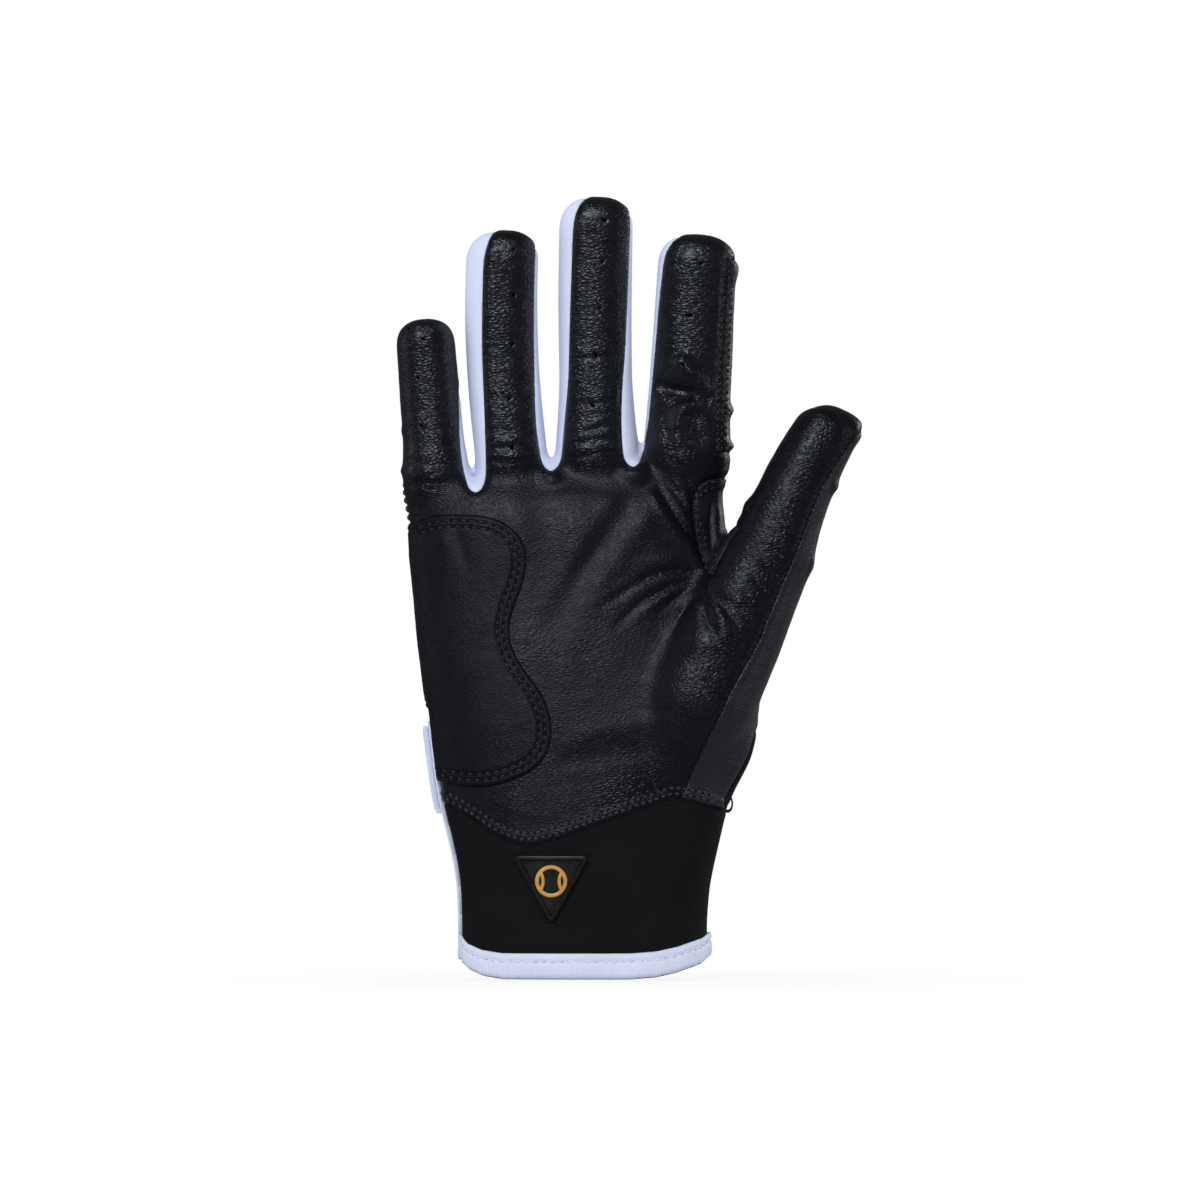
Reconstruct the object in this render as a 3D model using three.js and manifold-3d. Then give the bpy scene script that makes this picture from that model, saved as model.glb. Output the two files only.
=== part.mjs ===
// A right-hand batting glove, palm side towards -Y, fingers up +Z, standing on its cuff.
// It is shaped as it is worn: thin panels round an open hand-shaped hollow.
// Sizes are in millimetres. Tables whose names end in Shares hold shares of the named sizes.
import * as THREE from "three";
import { mergeVertices } from "three/addons/utils/BufferGeometryUtils.js";
import Module from "manifold-3d";

const wasm = await Module();
wasm.setup();

// Materials that repeat
const wall = 1.2; // one panel: leather or cloth with its lining
const gap = 0.3; // clearance between pieces that touch
const overrun = 4; // how far a cutting solid runs past what it cuts
const weld = 0.02; // vertices of a cut closer than this become one

// Cuff and palm
const cuffWidth = 70;
const cuffDepth = 46;
const cuffHeight = 50;
const palmWidth = 89;
const palmDepth = 29;
const palmHeight = 89;
const palmTop = cuffHeight + palmHeight;
const reach = 3 * cuffHeight; // half size of a cutting solid that spans the glove
const cuffBackHeight = 69; // the stretch cuff stands higher on the back
const sideSeamY = 2; // where the palm leather ends on the little-finger side
const thumbSideSeamY = 4; // where the thumb side panel meets the back
const ringSides = 24;
const ringRoundShare = 0.8; // 1 is an ellipse, less is squarer

// Rings of the cuff: height, left, right, front and back, as shares of the cuff's sizes.
const cuffRingShares = [
  [0, -0.495, 0.497, -0.5, 0.5],
  [0.3, -0.492, 0.487, -0.48, 0.48],
  [0.52, -0.496, 0.5, -0.475, 0.465],
  [0.7, -0.519, 0.528, -0.47, 0.455],
  [0.87, -0.55, 0.555, -0.47, 0.44],
  [1, -0.575, 0.58, -0.465, 0.425],
];
// Rings of the palm above it, as shares of the palm's sizes.
const palmRingShares = [
  [0.13, -0.47, 0.527, -0.71, 0.62],
  [0.26, -0.487, 0.553, -0.69, 0.59],
  [0.4, -0.506, 0.535, -0.64, 0.56],
  [0.56, -0.524, 0.466, -0.57, 0.54],
  [0.73, -0.54, 0.453, -0.51, 0.52],
  [0.88, -0.553, 0.444, -0.46, 0.48],
  [0.96, -0.553, 0.438, -0.4, 0.42],
  [1, -0.53, 0.41, -0.3, 0.32],
];

// Digits, each in its own frame: the crease where it bends is at its origin and it grows along +Z.
// The crease rises this much above the palm's top.
// leftSeam and rightSeam say how far out the palm-side panel reaches, as shares of half the width.
const sides = { gusset: 1, none: 0 };
const digits = {
  pinky: {
    x: -41.6, y: 0, rise: 1.5, leanDeg: -4.6, length: 43.9, root: 26, curl: 2.4, bow: 0,
    baseWidth: 19.4, midWidth: 16.8, tipWidth: 16.6, depth: 15.6, dome: 8,
    leftShare: -1.5, rightShare: 0.86, left: sides.none, right: sides.gusset,
  },
  ring: {
    x: -20.6, y: 0, rise: 7, leanDeg: -2.1, length: 63, root: 30, curl: 3.4, bow: -1.5,
    baseWidth: 21.2, midWidth: 20.4, tipWidth: 20.2, depth: 17, dome: 9,
    leftShare: -0.51, rightShare: 0.84, left: sides.gusset, right: sides.gusset,
  },
  middle: {
    x: 3.4, y: 0, rise: 9, leanDeg: -0.1, length: 70.5, root: 32, curl: 3.6, bow: -0.5,
    baseWidth: 23.4, midWidth: 20.4, tipWidth: 20.6, depth: 17.4, dome: 9.5,
    leftShare: -0.64, rightShare: 0.87, left: sides.gusset, right: sides.gusset,
  },
  index: {
    x: 28.4, y: 0, rise: 8.5, leanDeg: 3.3, length: 60.5, root: 30, curl: 3.2, bow: 0,
    baseWidth: 24.4, midWidth: 23, tipWidth: 22, depth: 17.4, dome: 9.5,
    leftShare: -0.88, rightShare: 0.66, left: sides.gusset, right: sides.gusset,
  },
};
const thumb = {
  x: 52.7, y: -9, rise: -18, leanDeg: 26, length: 42.6, root: 75, curl: -1.5, bow: -1.3,
  baseWidth: 25, midWidth: 21.3, tipWidth: 18.4, depth: 20.6, dome: 8.5,
  thenarWidth: 33, thenarDepth: 31,
};
const thumbInnerSeamY = 3; // where the thumb's leather ends on the side facing the palm

// The seam beside the thumb: its height as a share of the length, and how far out it runs
// as a share of half the width.
const thumbSeamShares = [
  [-3, 0.6], [-1.5, 0.6], [-1.1, 0.6], [-0.9, 0.62], [-0.65, 0.82], [-0.2, 0.86], [0.3, 0.62],
  [0.65, 0.66], [0.94, 0.72], [2, 0.76],
];

// Rings of a digit above its crease: height share, how far the width has gone from base to middle,
// and from middle to tip.
const digitRingShares = [
  [0, 0, 0],
  [0.13, 0.55, 0],
  [0.3, 1, 0],
  [0.62, 1, 0.5],
];
const rootShare = 0.6; // a digit's form starts this much smaller, buried in the palm
const baseDepthShare = 1.12;
const tipDepthShare = 0.93;
const fingerSides = 12;
const fingerRoundShare = 0.87;
const domeRings = 3;
const domeRoundShare = 0.83;
const tipOverShare = 0.62; // share of the dome that the palm-side panel wraps over
const backPanelShare = 0.8; // the back panel's half width, as a share of the finger's
const outerShare = 1.5; // past the finger's side, where there is no gusset
const outerSeamY = 1.5; // palm-side and back panels meet here on a side with no gusset

// White webs between the fingers: the bottom of each gusset, by its rise above the palm's top.
const webs = {
  pinky_ring_web: { x: -30.6, rise: -0.4, drop: 2.8 },
  ring_middle_web: { x: -9.5, rise: 5.6, drop: 2.6 },
  middle_index_web: { x: 13.4, rise: 7, drop: 2.9 },
};
const webHalfWidth = 3.1;
const webFormWidth = 17;
const webFormDepth = 20;
const webFormHeight = 30;
const webBackY = 6.5;

// Overlay on the heel of the hand, its outline as shares of its width and height.
const heelPad = { x: -50.5, rise: 3.4, width: 41.4, height: 76.2, thick: 0.9 };
const heelPadShares = [
  [-0.1, 0.93], [0.18, 0.994], [0.38, 1], [0.585, 0.99], [0.72, 0.955], [0.807, 0.9],
  [0.833, 0.832], [0.8, 0.74], [0.732, 0.648], [0.705, 0.575], [0.732, 0.501], [0.821, 0.42],
  [0.93, 0.346], [0.983, 0.273], [1, 0.207], [0.976, 0.134], [0.908, 0.079], [0.787, 0.038],
  [0.618, 0.008], [0.449, 0.001], [0.314, 0.012], [-0.1, 0.06],
];

// Web patch between index finger and thumb, outline as shares of its width and height.
const webPatch = { x: 29.6, drop: 30.8, width: 9, height: 31.4, backY: 5 };
const webPatchShares = [
  [0.53, 0.08], [0.2, 0.4], [0.02, 0.7], [0.1, 0.9], [0.48, 0.99], [1, 1], [2.2, 1], [2.2, 0.75],
  [1.2, 0.47], [0.8, 0.24],
];

// Seam between leather and cuff, as shares of half the cuff's width and of its height.
const cuffSeamShares = [
  [-1.5, 1.11], [-1.13, 0.99], [-0.91, 0.908], [-0.75, 0.824], [-0.57, 0.768], [-0.43, 0.756],
  [-0.19, 0.796], [0.13, 0.88], [0.53, 0.974], [0.7, 1.02], [0.85, 1], [1.13, 0.946], [1.5, 0.9],
];

// Stretch panel across the knuckles on the back, its upper edge this far below the palm's top.
const flex = { below: 12, height: 19, drop: 7, right: 40 };
const flexHigh = palmTop - flex.below;
const flexLow = flexHigh - flex.height;

// Pads on the back of each finger's middle joint.
const fingerPad = { lowShare: 0.28, highShare: 0.56, widthShare: 0.86, thick: 0.9 };

// Binding tape round the hem and up the closure slit.
const tape = 0.9;
const hemHeight = 7.2;
const hemRise = 8.4; // the hem's lower edge rises this much at its sides
const slit = { lowY: 6.5, highY: 0.5, width: 3.6, top: 73, tapeWidth: 3.4, open: 1 };
const cuffBottom = tape + gap;

// The hem's lower edge, as shares of half the cuff's width and of the rise.
const hemShares = [
  [-1.12, 1.15], [-1.02, 0.95], [-0.99, 0.64], [-0.92, 0.3], [-0.81, 0.1], [-0.65, 0],
  [0.36, 0], [0.56, 0.06], [0.72, 0.2], [0.92, 0.48], [0.99, 0.7], [1.02, 0.96], [1.12, 1.15],
];

// Wrist strap with hook and loop.
const strapClear = gap + tape + gap;
const strapThick = 1.6;
const strap = {
  left: -60, right: 33, lowLeft: 49, highLeft: 73.6, lowRight: 37, highRight: 58,
  corner: 6, startY: -1.5,
};
const hook = { left: -6, right: 26, inset: 3.2, thick: 0.9 };
const loop = { left: -22, right: 30, low: 40, high: 65, thick: tape, corner: 4 };
const pullTab = { left: 15, overhang: 2.2, inset: 1.6, thick: 1.3 };
const tabRibCount = 4;
const tabRibDepth = 0.6;

// Moulded badge on the palm side of the cuff: a triangle that carries a plain ball.
const badge = { x: -9.4, top: 34, width: 20.4, height: 18.6, corner: 2.2, thick: 1.4 };
const badgeRim = 1.3;
const badgeRimHeight = 0.4;
const ball = { radius: 4.3, line: 0.9, thick: 0.5, dropShare: 0.36, seamShare: 0.62 };

// Size label sewn inside the back of the cuff.
const label = { x: 8, z: 30, width: 20, height: 14, thick: 0.5 };

const material = (color, roughness, metalness = 0) =>
  new THREE.MeshStandardMaterial({ color, roughness, metalness });
const leather = material(0x17171a, 0.42);
const microfibre = material(0x1c1c22, 0.6);
const stretchWhite = material(0xd3dbf4, 0.75);
const neoprene = material(0x0c0c10, 0.9);
const whiteTape = material(0xe4e9fa, 0.7);
const whiteStrap = material(0xdfe4f6, 0.65);
const rubber = material(0x141416, 0.5);
const goldRubber = material(0xc98f2c, 0.4);
const hookPile = material(0x101012, 0.95);
const labelCloth = material(0xf0f0f0, 0.8);

// Solids

function solidOf(geometry) {
  const bare = geometry.clone();
  bare.deleteAttribute("normal");
  bare.deleteAttribute("uv");
  const merged = mergeVertices(bare, 1e-4);
  return new wasm.Manifold(
    new wasm.Mesh({
      numProp: 3,
      vertProperties: new Float32Array(merged.attributes.position.array),
      triVerts: new Uint32Array(merged.index.array),
    }),
  );
}

// Groups that grow by joining two members at a time.
function groups(count) {
  const parent = Array.from({ length: count }, (_, i) => i);
  const find = (i) => {
    while (parent[i] !== i) {
      parent[i] = parent[parent[i]];
      i = parent[i];
    }
    return i;
  };
  const unite = (a, b) => {
    parent[find(a)] = find(b);
  };
  return { find, unite };
}

// Moves vertices that nearly meet onto one place, and drops what that closes up.
function weldShortEdges(points, faces) {
  const near = groups(points.length);
  faces.forEach((face) =>
    face.forEach((a, k) => {
      const b = face[(k + 1) % 3];
      if (points[a].distanceTo(points[b]) < weld) near.unite(a, b);
    }),
  );
  const moved = faces.map((face) => face.map(near.find));
  const left = moved.filter(([a, b, c]) => a !== b && b !== c && c !== a);
  const seen = new Map();
  const key = (face) => [...face].sort((a, b) => a - b).join();
  left.forEach((face) => seen.set(key(face), (seen.get(key(face)) ?? 0) + 1));
  return left.filter((face) => seen.get(key(face)) === 1);
}

// Turns the long edge of each thin triangle across the pair of triangles that share it.
function turnThinTriangles(points, faces) {
  const owner = new Map();
  faces.forEach((face, i) => face.forEach((a, k) => owner.set(a + "," + face[(k + 1) % 3], i)));
  const touched = new Set();
  faces.forEach((face, i) => {
    const triangle = new THREE.Triangle(...face.map((a) => points[a]));
    const lengths = face.map((a, k) => points[a].distanceTo(points[face[(k + 1) % 3]]));
    const longest = Math.max(...lengths);
    if ((2 * triangle.getArea()) / longest > weld / 4) return;
    const k = lengths.indexOf(longest);
    const [a, b, c] = [face[k], face[(k + 1) % 3], face[(k + 2) % 3]];
    const j = owner.get(b + "," + a);
    if (j === undefined || touched.has(i) || touched.has(j)) return;
    const d = faces[j].find((one) => one !== a && one !== b);
    if (owner.has(c + "," + d) || owner.has(d + "," + c)) return;
    faces[i] = [a, d, c];
    faces[j] = [d, b, c];
    touched.add(i);
    touched.add(j);
  });
  return faces;
}

// The largest of the separate bodies that a cut leaves, so that a shaving never becomes a piece.
function largestBody(points, faces) {
  const bodies = groups(points.length);
  faces.forEach(([a, b, c]) => {
    bodies.unite(a, b);
    bodies.unite(b, c);
  });
  const volumes = new Map();
  const cross = new THREE.Vector3();
  faces.forEach(([a, b, c]) => {
    const body = bodies.find(a);
    const volume = points[a].dot(cross.copy(points[b]).cross(points[c]));
    volumes.set(body, (volumes.get(body) ?? 0) + volume);
  });
  const [best] = [...volumes].reduce((most, one) => (one[1] > most[1] ? one : most));
  return faces.filter(([a]) => bodies.find(a) === best);
}

function geometryOf(solid) {
  const mesh = solid.getMesh();
  const points = [];
  for (let i = 0; i < mesh.vertProperties.length; i += 3) {
    points.push(new THREE.Vector3().fromArray(mesh.vertProperties, i));
  }
  let faces = [];
  for (let i = 0; i < mesh.triVerts.length; i += 3) faces.push([...mesh.triVerts.slice(i, i + 3)]);
  for (let pass = 0; pass < 3; pass++) faces = turnThinTriangles(points, weldShortEdges(points, faces));
  const geometry = new THREE.BufferGeometry().setFromPoints(points);
  geometry.setIndex(largestBody(points, faces).flat());
  geometry.computeVertexNormals();
  return geometry;
}

const join = (solids) => solids.reduce((all, one) => all.add(one));

function block(x0, x1, y0, y1, z0, z1) {
  const box = new THREE.BoxGeometry(x1 - x0, y1 - y0, z1 - z0);
  box.translate((x0 + x1) / 2, (y0 + y1) / 2, (z0 + z1) / 2);
  return solidOf(box);
}

// A prism whose outline is drawn in the X-Z plane and that runs from y0 to y1.
function prism(shape, y0, y1, curveSegments = 5) {
  const solid = new THREE.ExtrudeGeometry(shape, { depth: y1 - y0, bevelEnabled: false, curveSegments });
  solid.rotateX(Math.PI / 2);
  solid.translate(0, y1, 0);
  return solidOf(solid);
}

function outline(points) {
  return new THREE.Shape(points.map(([x, z]) => new THREE.Vector2(x, z)));
}

// A smooth outline through shares of a width and height, grown outwards by a margin.
function scaledOutline(shares, { x, z, width, height }, margin = 0) {
  const middle = [x + width / 2, z + height / 2];
  return outline(
    shares.map(([across, up]) => {
      const from = [x + across * width, z + up * height];
      const away = new THREE.Vector2(from[0] - middle[0], from[1] - middle[1]).setLength(margin);
      return [from[0] + away.x, from[1] + away.y];
    }),
  );
}

function roundedOutline(corners, radius) {
  const shape = new THREE.Shape();
  corners.forEach((corner, i) => {
    const at = new THREE.Vector2(...corner);
    const before = new THREE.Vector2(...corners[(i + corners.length - 1) % corners.length]);
    const after = new THREE.Vector2(...corners[(i + 1) % corners.length]);
    const start = at.clone().add(before.sub(at).setLength(radius));
    const end = at.clone().add(after.sub(at).setLength(radius));
    if (i === 0) shape.moveTo(start.x, start.y);
    else shape.lineTo(start.x, start.y);
    shape.quadraticCurveTo(at.x, at.y, end.x, end.y);
  });
  return shape;
}

// Lofts

function roundedRing({ left, right, front, back, height }, sideCount, roundShare, offset) {
  const halfWidth = (right - left) / 2 + offset;
  const halfDepth = (back - front) / 2 + offset;
  return Array.from({ length: sideCount }, (_, i) => {
    const turn = (2 * Math.PI * (i + 0.5)) / sideCount;
    const across = Math.sign(Math.cos(turn)) * Math.abs(Math.cos(turn)) ** roundShare;
    const deep = Math.sign(Math.sin(turn)) * Math.abs(Math.sin(turn)) ** roundShare;
    return [(left + right) / 2 + halfWidth * across, (front + back) / 2 + halfDepth * deep, height];
  });
}

// A closed skin over a stack of rings, with a fan over each end.
function loft(rings) {
  const sideCount = rings[0].length;
  const positions = rings.flat(2);
  const faces = [];
  for (let r = 0; r + 1 < rings.length; r++) {
    for (let i = 0; i < sideCount; i++) {
      const j = (i + 1) % sideCount;
      const low = r * sideCount;
      const high = low + sideCount;
      faces.push(low + i, low + j, high + j, low + i, high + j, high + i);
    }
  }
  [0, rings.length - 1].forEach((r) => {
    const hub = positions.length / 3;
    const mean = [0, 1, 2].map((k) => rings[r].reduce((sum, p) => sum + p[k], 0) / sideCount);
    positions.push(...mean);
    for (let i = 0; i < sideCount; i++) {
      const j = (i + 1) % sideCount;
      const a = r * sideCount + i;
      const b = r * sideCount + j;
      if (r === 0) faces.push(hub, b, a);
      else faces.push(hub, a, b);
    }
  });
  const geometry = new THREE.BufferGeometry();
  geometry.setAttribute("position", new THREE.Float32BufferAttribute(positions, 3));
  geometry.setIndex(faces);
  return geometry;
}

// The palm and cuff, grown by offset. It runs below the hem, so that the hollow is open there.
function palmLoft(offset) {
  const fromShares = ([up, left, right, front, back], low, height, width, depth) => ({
    height: low + up * height,
    left: left * width,
    right: right * width,
    front: front * depth,
    back: back * depth,
  });
  const rings = [
    ...cuffRingShares.map((row) => fromShares(row, 0, cuffHeight, cuffWidth, cuffDepth)),
    ...palmRingShares.map((row) => fromShares(row, cuffHeight, palmHeight, palmWidth, palmDepth)),
  ];
  rings.unshift({ ...rings[0], height: -overrun });
  rings[rings.length - 1].height += offset;
  return solidOf(loft(rings.map((ring) => roundedRing(ring, ringSides, ringRoundShare, offset))));
}

const mix = THREE.MathUtils.lerp;

const digitWidth = ({ baseWidth, midWidth, tipWidth }, toMiddle, toTip) =>
  mix(mix(baseWidth, midWidth, toMiddle), tipWidth, toTip);
const bowAt = ({ bow, length }, height) => bow * Math.sin(Math.PI * THREE.MathUtils.clamp(height / length, 0, 1));

// A digit in its own frame, grown by offset, from the end of its root to its domed tip.
function digitLoft(digit, offset) {
  const { length, root, curl, baseWidth, tipWidth, depth, dome } = digit;
  const rings = [];
  const add = (height, width, thick, scale = 1) => {
    const share = Math.max(height, 0) / length;
    const across = bowAt(digit, height);
    const middle = -curl * share ** 2;
    const halfWidth = (width / 2 + offset) * scale - offset;
    const halfDepth = (thick / 2 + offset) * scale - offset;
    rings.push({
      height,
      left: across - halfWidth,
      right: across + halfWidth,
      front: middle - halfDepth,
      back: middle + halfDepth,
    });
  };
  if (digit.thenarWidth) {
    add(-root, digit.thenarWidth * rootShare, digit.thenarDepth * rootShare);
    add(-root * 0.66, digit.thenarWidth, digit.thenarDepth);
    add(-root * 0.36, mix(digit.thenarWidth, baseWidth, 0.4), mix(digit.thenarDepth, depth, 0.4));
  } else {
    add(-root, baseWidth * rootShare, depth * rootShare);
  }
  add(-root * 0.1, baseWidth * 1.04, depth * baseDepthShare);
  const body = length - dome;
  digitRingShares.forEach(([up, toMiddle, toTip]) => {
    add(body * up, digitWidth(digit, toMiddle, toTip), depth * mix(baseDepthShare, tipDepthShare, up));
  });
  for (let i = 0; i <= domeRings; i++) {
    const rise = i === domeRings ? 0.985 : Math.sin((Math.PI / 2) * (i / domeRings));
    const scale = (1 - rise ** (2 / domeRoundShare)) ** (domeRoundShare / 2);
    add(body + (dome + offset) * rise, tipWidth, depth * tipDepthShare, scale);
  }
  return loft(rings.map((ring) => roundedRing(ring, fingerSides, fingerRoundShare, offset)));
}

// Moves a solid made in a digit's frame into the glove's frame.
function place(geometry, digit) {
  geometry.rotateY(THREE.MathUtils.degToRad(digit.leanDeg));
  geometry.translate(digit.x, digit.y, palmTop + digit.rise);
  return geometry;
}

function placedBlock(digit, x0, x1, y0, y1, z0, z1) {
  const box = new THREE.BoxGeometry(x1 - x0, y1 - y0, z1 - z0);
  box.translate((x0 + x1) / 2, (y0 + y1) / 2, (z0 + z1) / 2);
  return solidOf(place(box, digit));
}

// The saddle between two fingers, grown by offset.
function webLoft({ x, rise }, offset) {
  const top = palmTop + rise;
  const ring = (height, scale) => ({
    height,
    left: x - (webFormWidth / 2) * scale,
    right: x + (webFormWidth / 2) * scale,
    front: (-webFormDepth / 2) * scale,
    back: (webFormDepth / 2) * scale,
  });
  const peak = top + offset;
  const rings = [
    ring(top - webFormHeight, 1),
    ring(peak - webHalfWidth * 1.6, 1),
    ring(peak - webHalfWidth * 0.6, 0.75),
    ring(peak, 0.3),
  ];
  return solidOf(loft(rings.map((one) => roundedRing(one, fingerSides, 1, offset))));
}

// The glove's body below the creases, grown by offset.
const formCache = new Map();
function form(offset) {
  if (!formCache.has(offset)) {
    formCache.set(
      offset,
      join([
        palmLoft(offset),
        ...Object.values(digits).map((digit) => solidOf(place(digitLoft(digit, offset), digit))),
        solidOf(place(digitLoft(thumb, offset), thumb)),
        ...Object.values(webs).map((web) => webLoft(web, offset)),
      ]),
    );
  }
  return formCache.get(offset);
}

// The space above each crease, which belongs to the digit and not to the palm.
const digitZones = [...Object.values(digits), thumb].map((digit) => {
  const half = digit.baseWidth / 2 + webHalfWidth / 2;
  return placedBlock(digit, -half, half, -reach, reach, -gap / 2, reach);
});
const clearOfDigits = (solid) => digitZones.reduce((left, zone) => left.subtract(zone), solid);
const layer = (inner, outer) => form(outer).subtract(form(inner));

// Cutting solids for the panels

const above = (height) => block(-reach, reach, -reach, reach, height, reach * 2);
const below = (height) => block(-reach, reach, -reach, reach, -reach, height);
const before = (y) => block(-reach, reach, -reach, y, -reach, reach * 2);
const leftOf = (x) => block(-reach, x, -reach, reach, -reach, reach * 2);

// Below the seam between leather and cuff on the palm side; a positive grow raises it.
function underCuffSeam(grow) {
  const line = cuffSeamShares.map(([across, up]) => [(across * cuffWidth) / 2, up * cuffHeight + grow]);
  return prism(outline([...line, [reach, -reach], [-reach, -reach]]), -reach, reach);
}

function webPatchZone(grow) {
  const { x, drop, width, height, backY } = webPatch;
  const shape = scaledOutline(webPatchShares, { x, z: palmTop - drop, width, height }, grow);
  return prism(shape, -reach, backY + grow);
}

function webZone({ x, rise, drop }, grow) {
  const half = webHalfWidth + grow;
  const top = palmTop + rise;
  const shape = new THREE.Shape();
  const low = top - drop;
  shape.moveTo(x + half, top + overrun);
  shape.lineTo(x - half, top + overrun);
  shape.lineTo(x - half, low + half - grow * 2);
  shape.quadraticCurveTo(x - half, low - grow, x, low - grow);
  shape.quadraticCurveTo(x + half, low - grow, x + half, low + half - grow * 2);
  shape.closePath();
  return prism(shape, -reach, webBackY + grow);
}

// Above the hem's lower edge, raised by lift.
function aboveHem(lift) {
  const line = hemShares.map(([across, up]) => [(across * cuffWidth) / 2, up * hemRise + lift]);
  return prism(outline([[-reach, reach * 2], ...line, [reach, reach * 2]]), -reach, reach);
}

const half = gap / 2;

// Left of the seam beside the thumb, in the thumb's own frame.
function thumbSeamPrism(grow) {
  const line = thumbSeamShares.map(([up, out]) => [(out * thumb.baseWidth) / 2 + grow, up * thumb.length]);
  const shape = outline([...line, [-reach * 2, reach], [-reach * 2, -reach]]);
  const solid = new THREE.ExtrudeGeometry(shape, { depth: reach * 2, bevelEnabled: false });
  solid.rotateX(Math.PI / 2);
  solid.translate(0, reach, 0);
  return solid;
}
const leftOfThumbSeam = (grow) => solidOf(place(thumbSeamPrism(grow), thumb));

// A prism whose outline is drawn in the Y-Z plane and that spans the little-finger side of the cuff.
function sidePrism(points) {
  const shape = new THREE.Shape(points.map(([y, z]) => new THREE.Vector2(y, z)));
  const solid = new THREE.ExtrudeGeometry(shape, { depth: reach - cuffWidth / 4, bevelEnabled: false });
  const toSide = new THREE.Matrix4().makeBasis(
    new THREE.Vector3(0, 1, 0),
    new THREE.Vector3(0, 0, 1),
    new THREE.Vector3(1, 0, 0),
  );
  solid.applyMatrix4(toSide);
  solid.translate(-reach, 0, 0);
  return solidOf(solid);
}

// Where the middle of the slit lies at a height, on its straight line.
const slitY = (z) => mix(slit.lowY, slit.highY, z / slit.top);

function slitBox(grow, top = slit.top) {
  const reachOut = slit.width / 2 + grow;
  const low = -overrun;
  const high = top + grow;
  return sidePrism([
    [slitY(low) - reachOut, low],
    [slitY(low) + reachOut, low],
    [slitY(high) + reachOut, high],
    [slitY(high) - reachOut, high],
  ]);
}

// The palm side of the glove: before the side seams, which the slit continues down to the hem.
function palmSide(grow) {
  const left = sidePrism([
    [-reach, -overrun],
    [slitY(-overrun) + grow, -overrun],
    [slitY(slit.top - overrun) + grow, slit.top - overrun],
    [sideSeamY + grow, slit.top - overrun / 2],
    [sideSeamY + grow, reach * 2],
    [-reach, reach * 2],
  ]);
  return left.add(block(-cuffWidth / 4, reach, -reach, sideSeamY + grow, -reach, reach * 2));
}

// Palm-side panels

const skin = clearOfDigits(layer(-wall, 0)).intersect(aboveHem(cuffBottom)).subtract(slitBox(0));
const leatherZone = (grow) =>
  leftOfThumbSeam(grow).intersect(palmSide(grow)).subtract(underCuffSeam(-grow));
const allWebZones = (grow) => join(Object.values(webs).map((web) => webZone(web, grow)));

const palmLeather = skin.intersect(leatherZone(-half)).subtract(webPatchZone(half)).subtract(allWebZones(half));
const webPatchSolid = skin
  .intersect(webPatchZone(-half))
  .intersect(leftOfThumbSeam(-half))
  .subtract(allWebZones(half));
const webSolids = Object.fromEntries(
  Object.entries(webs).map(([name, web]) => [name, skin.intersect(webZone(web, -half))]),
);
const heelPadPlace = { ...heelPad, z: cuffHeight + heelPad.rise };
const heelPadSolid = layer(gap, gap + heelPad.thick)
  .intersect(prism(scaledOutline(heelPadShares, heelPadPlace), -reach, sideSeamY - half))
  .subtract(slitBox(slit.tapeWidth + gap));

// Back panels

const backCuffZone = (grow) => below(cuffBackHeight + grow);
const flexLineShares = [-1, -0.6, -0.2, 0.2, 0.6, 1];
const flexLine = (height, grow) => {
  const middle = (digits.pinky.x + digits.index.x) / 2;
  const span = flex.right + grow - middle;
  return flexLineShares.map((share) => [middle + share * span, height + grow - flex.drop * share ** 2]);
};
// The zone is as wide as the row of knuckles, and runs out past the little-finger side.
const flexZone = (grow) => {
  const left = -palmWidth;
  const line = (height, lift) => [[left, height + lift - flex.drop], ...flexLine(height, lift)];
  const shape = outline([...line(flexHigh, grow), ...line(flexLow, -grow).reverse()]);
  return prism(shape, sideSeamY - grow, reach).intersect(leftOf(flex.right + grow));
};
const yokeZone = (grow) => {
  const left = -palmWidth;
  const top = palmTop + digits.middle.rise + overrun;
  const line = [[left, flexHigh - grow - flex.drop], ...flexLine(flexHigh, -grow)];
  const shape = outline([...line, [flex.right + grow, top], [left, top]]);
  return prism(shape, -reach, reach).intersect(leftOf(flex.right + grow));
};
const thumbSideZone = (grow) => before(thumbSideSeamY + grow).subtract(leftOfThumbSeam(-grow));
const backSkin = skin
  .subtract(leatherZone(half))
  .subtract(webPatchZone(half))
  .subtract(allWebZones(half));
const upperBack = backSkin.subtract(thumbSideZone(half));

const thumbSide = backSkin.intersect(thumbSideZone(-half)).subtract(underCuffSeam(half));
const knuckleFlex = upperBack.intersect(flexZone(-half));
const knuckleYoke = upperBack.intersect(yokeZone(-half));
const backHand = upperBack.subtract(flexZone(half)).subtract(yokeZone(half)).subtract(backCuffZone(half));

// Cuff

const cuffFront = skin.intersect(underCuffSeam(-half)).intersect(palmSide(-half));
const cuffBack = skin
  .intersect(backCuffZone(-half))
  .subtract(palmSide(half))
  .subtract(thumbSideZone(half).subtract(underCuffSeam(0)));
const cuffCore = layer(-wall - gap, gap).intersect(aboveHem(cuffBottom - gap));
const tapeLayer = layer(-wall - gap - tape, gap + tape);
const hemBinding = tapeLayer
  .intersect(aboveHem(0))
  .subtract(aboveHem(hemHeight))
  .subtract(cuffCore)
  .subtract(slitBox(slit.tapeWidth + gap));
const slitMouth = slitBox((slit.open - slit.width) / 2, slit.top - tape);
const slitBinding = tapeLayer
  .intersect(slitBox(slit.tapeWidth))
  .intersect(aboveHem(0))
  .subtract(cuffCore.subtract(slitBox(-gap)))
  .subtract(slitMouth);

// Wrist strap

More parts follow.
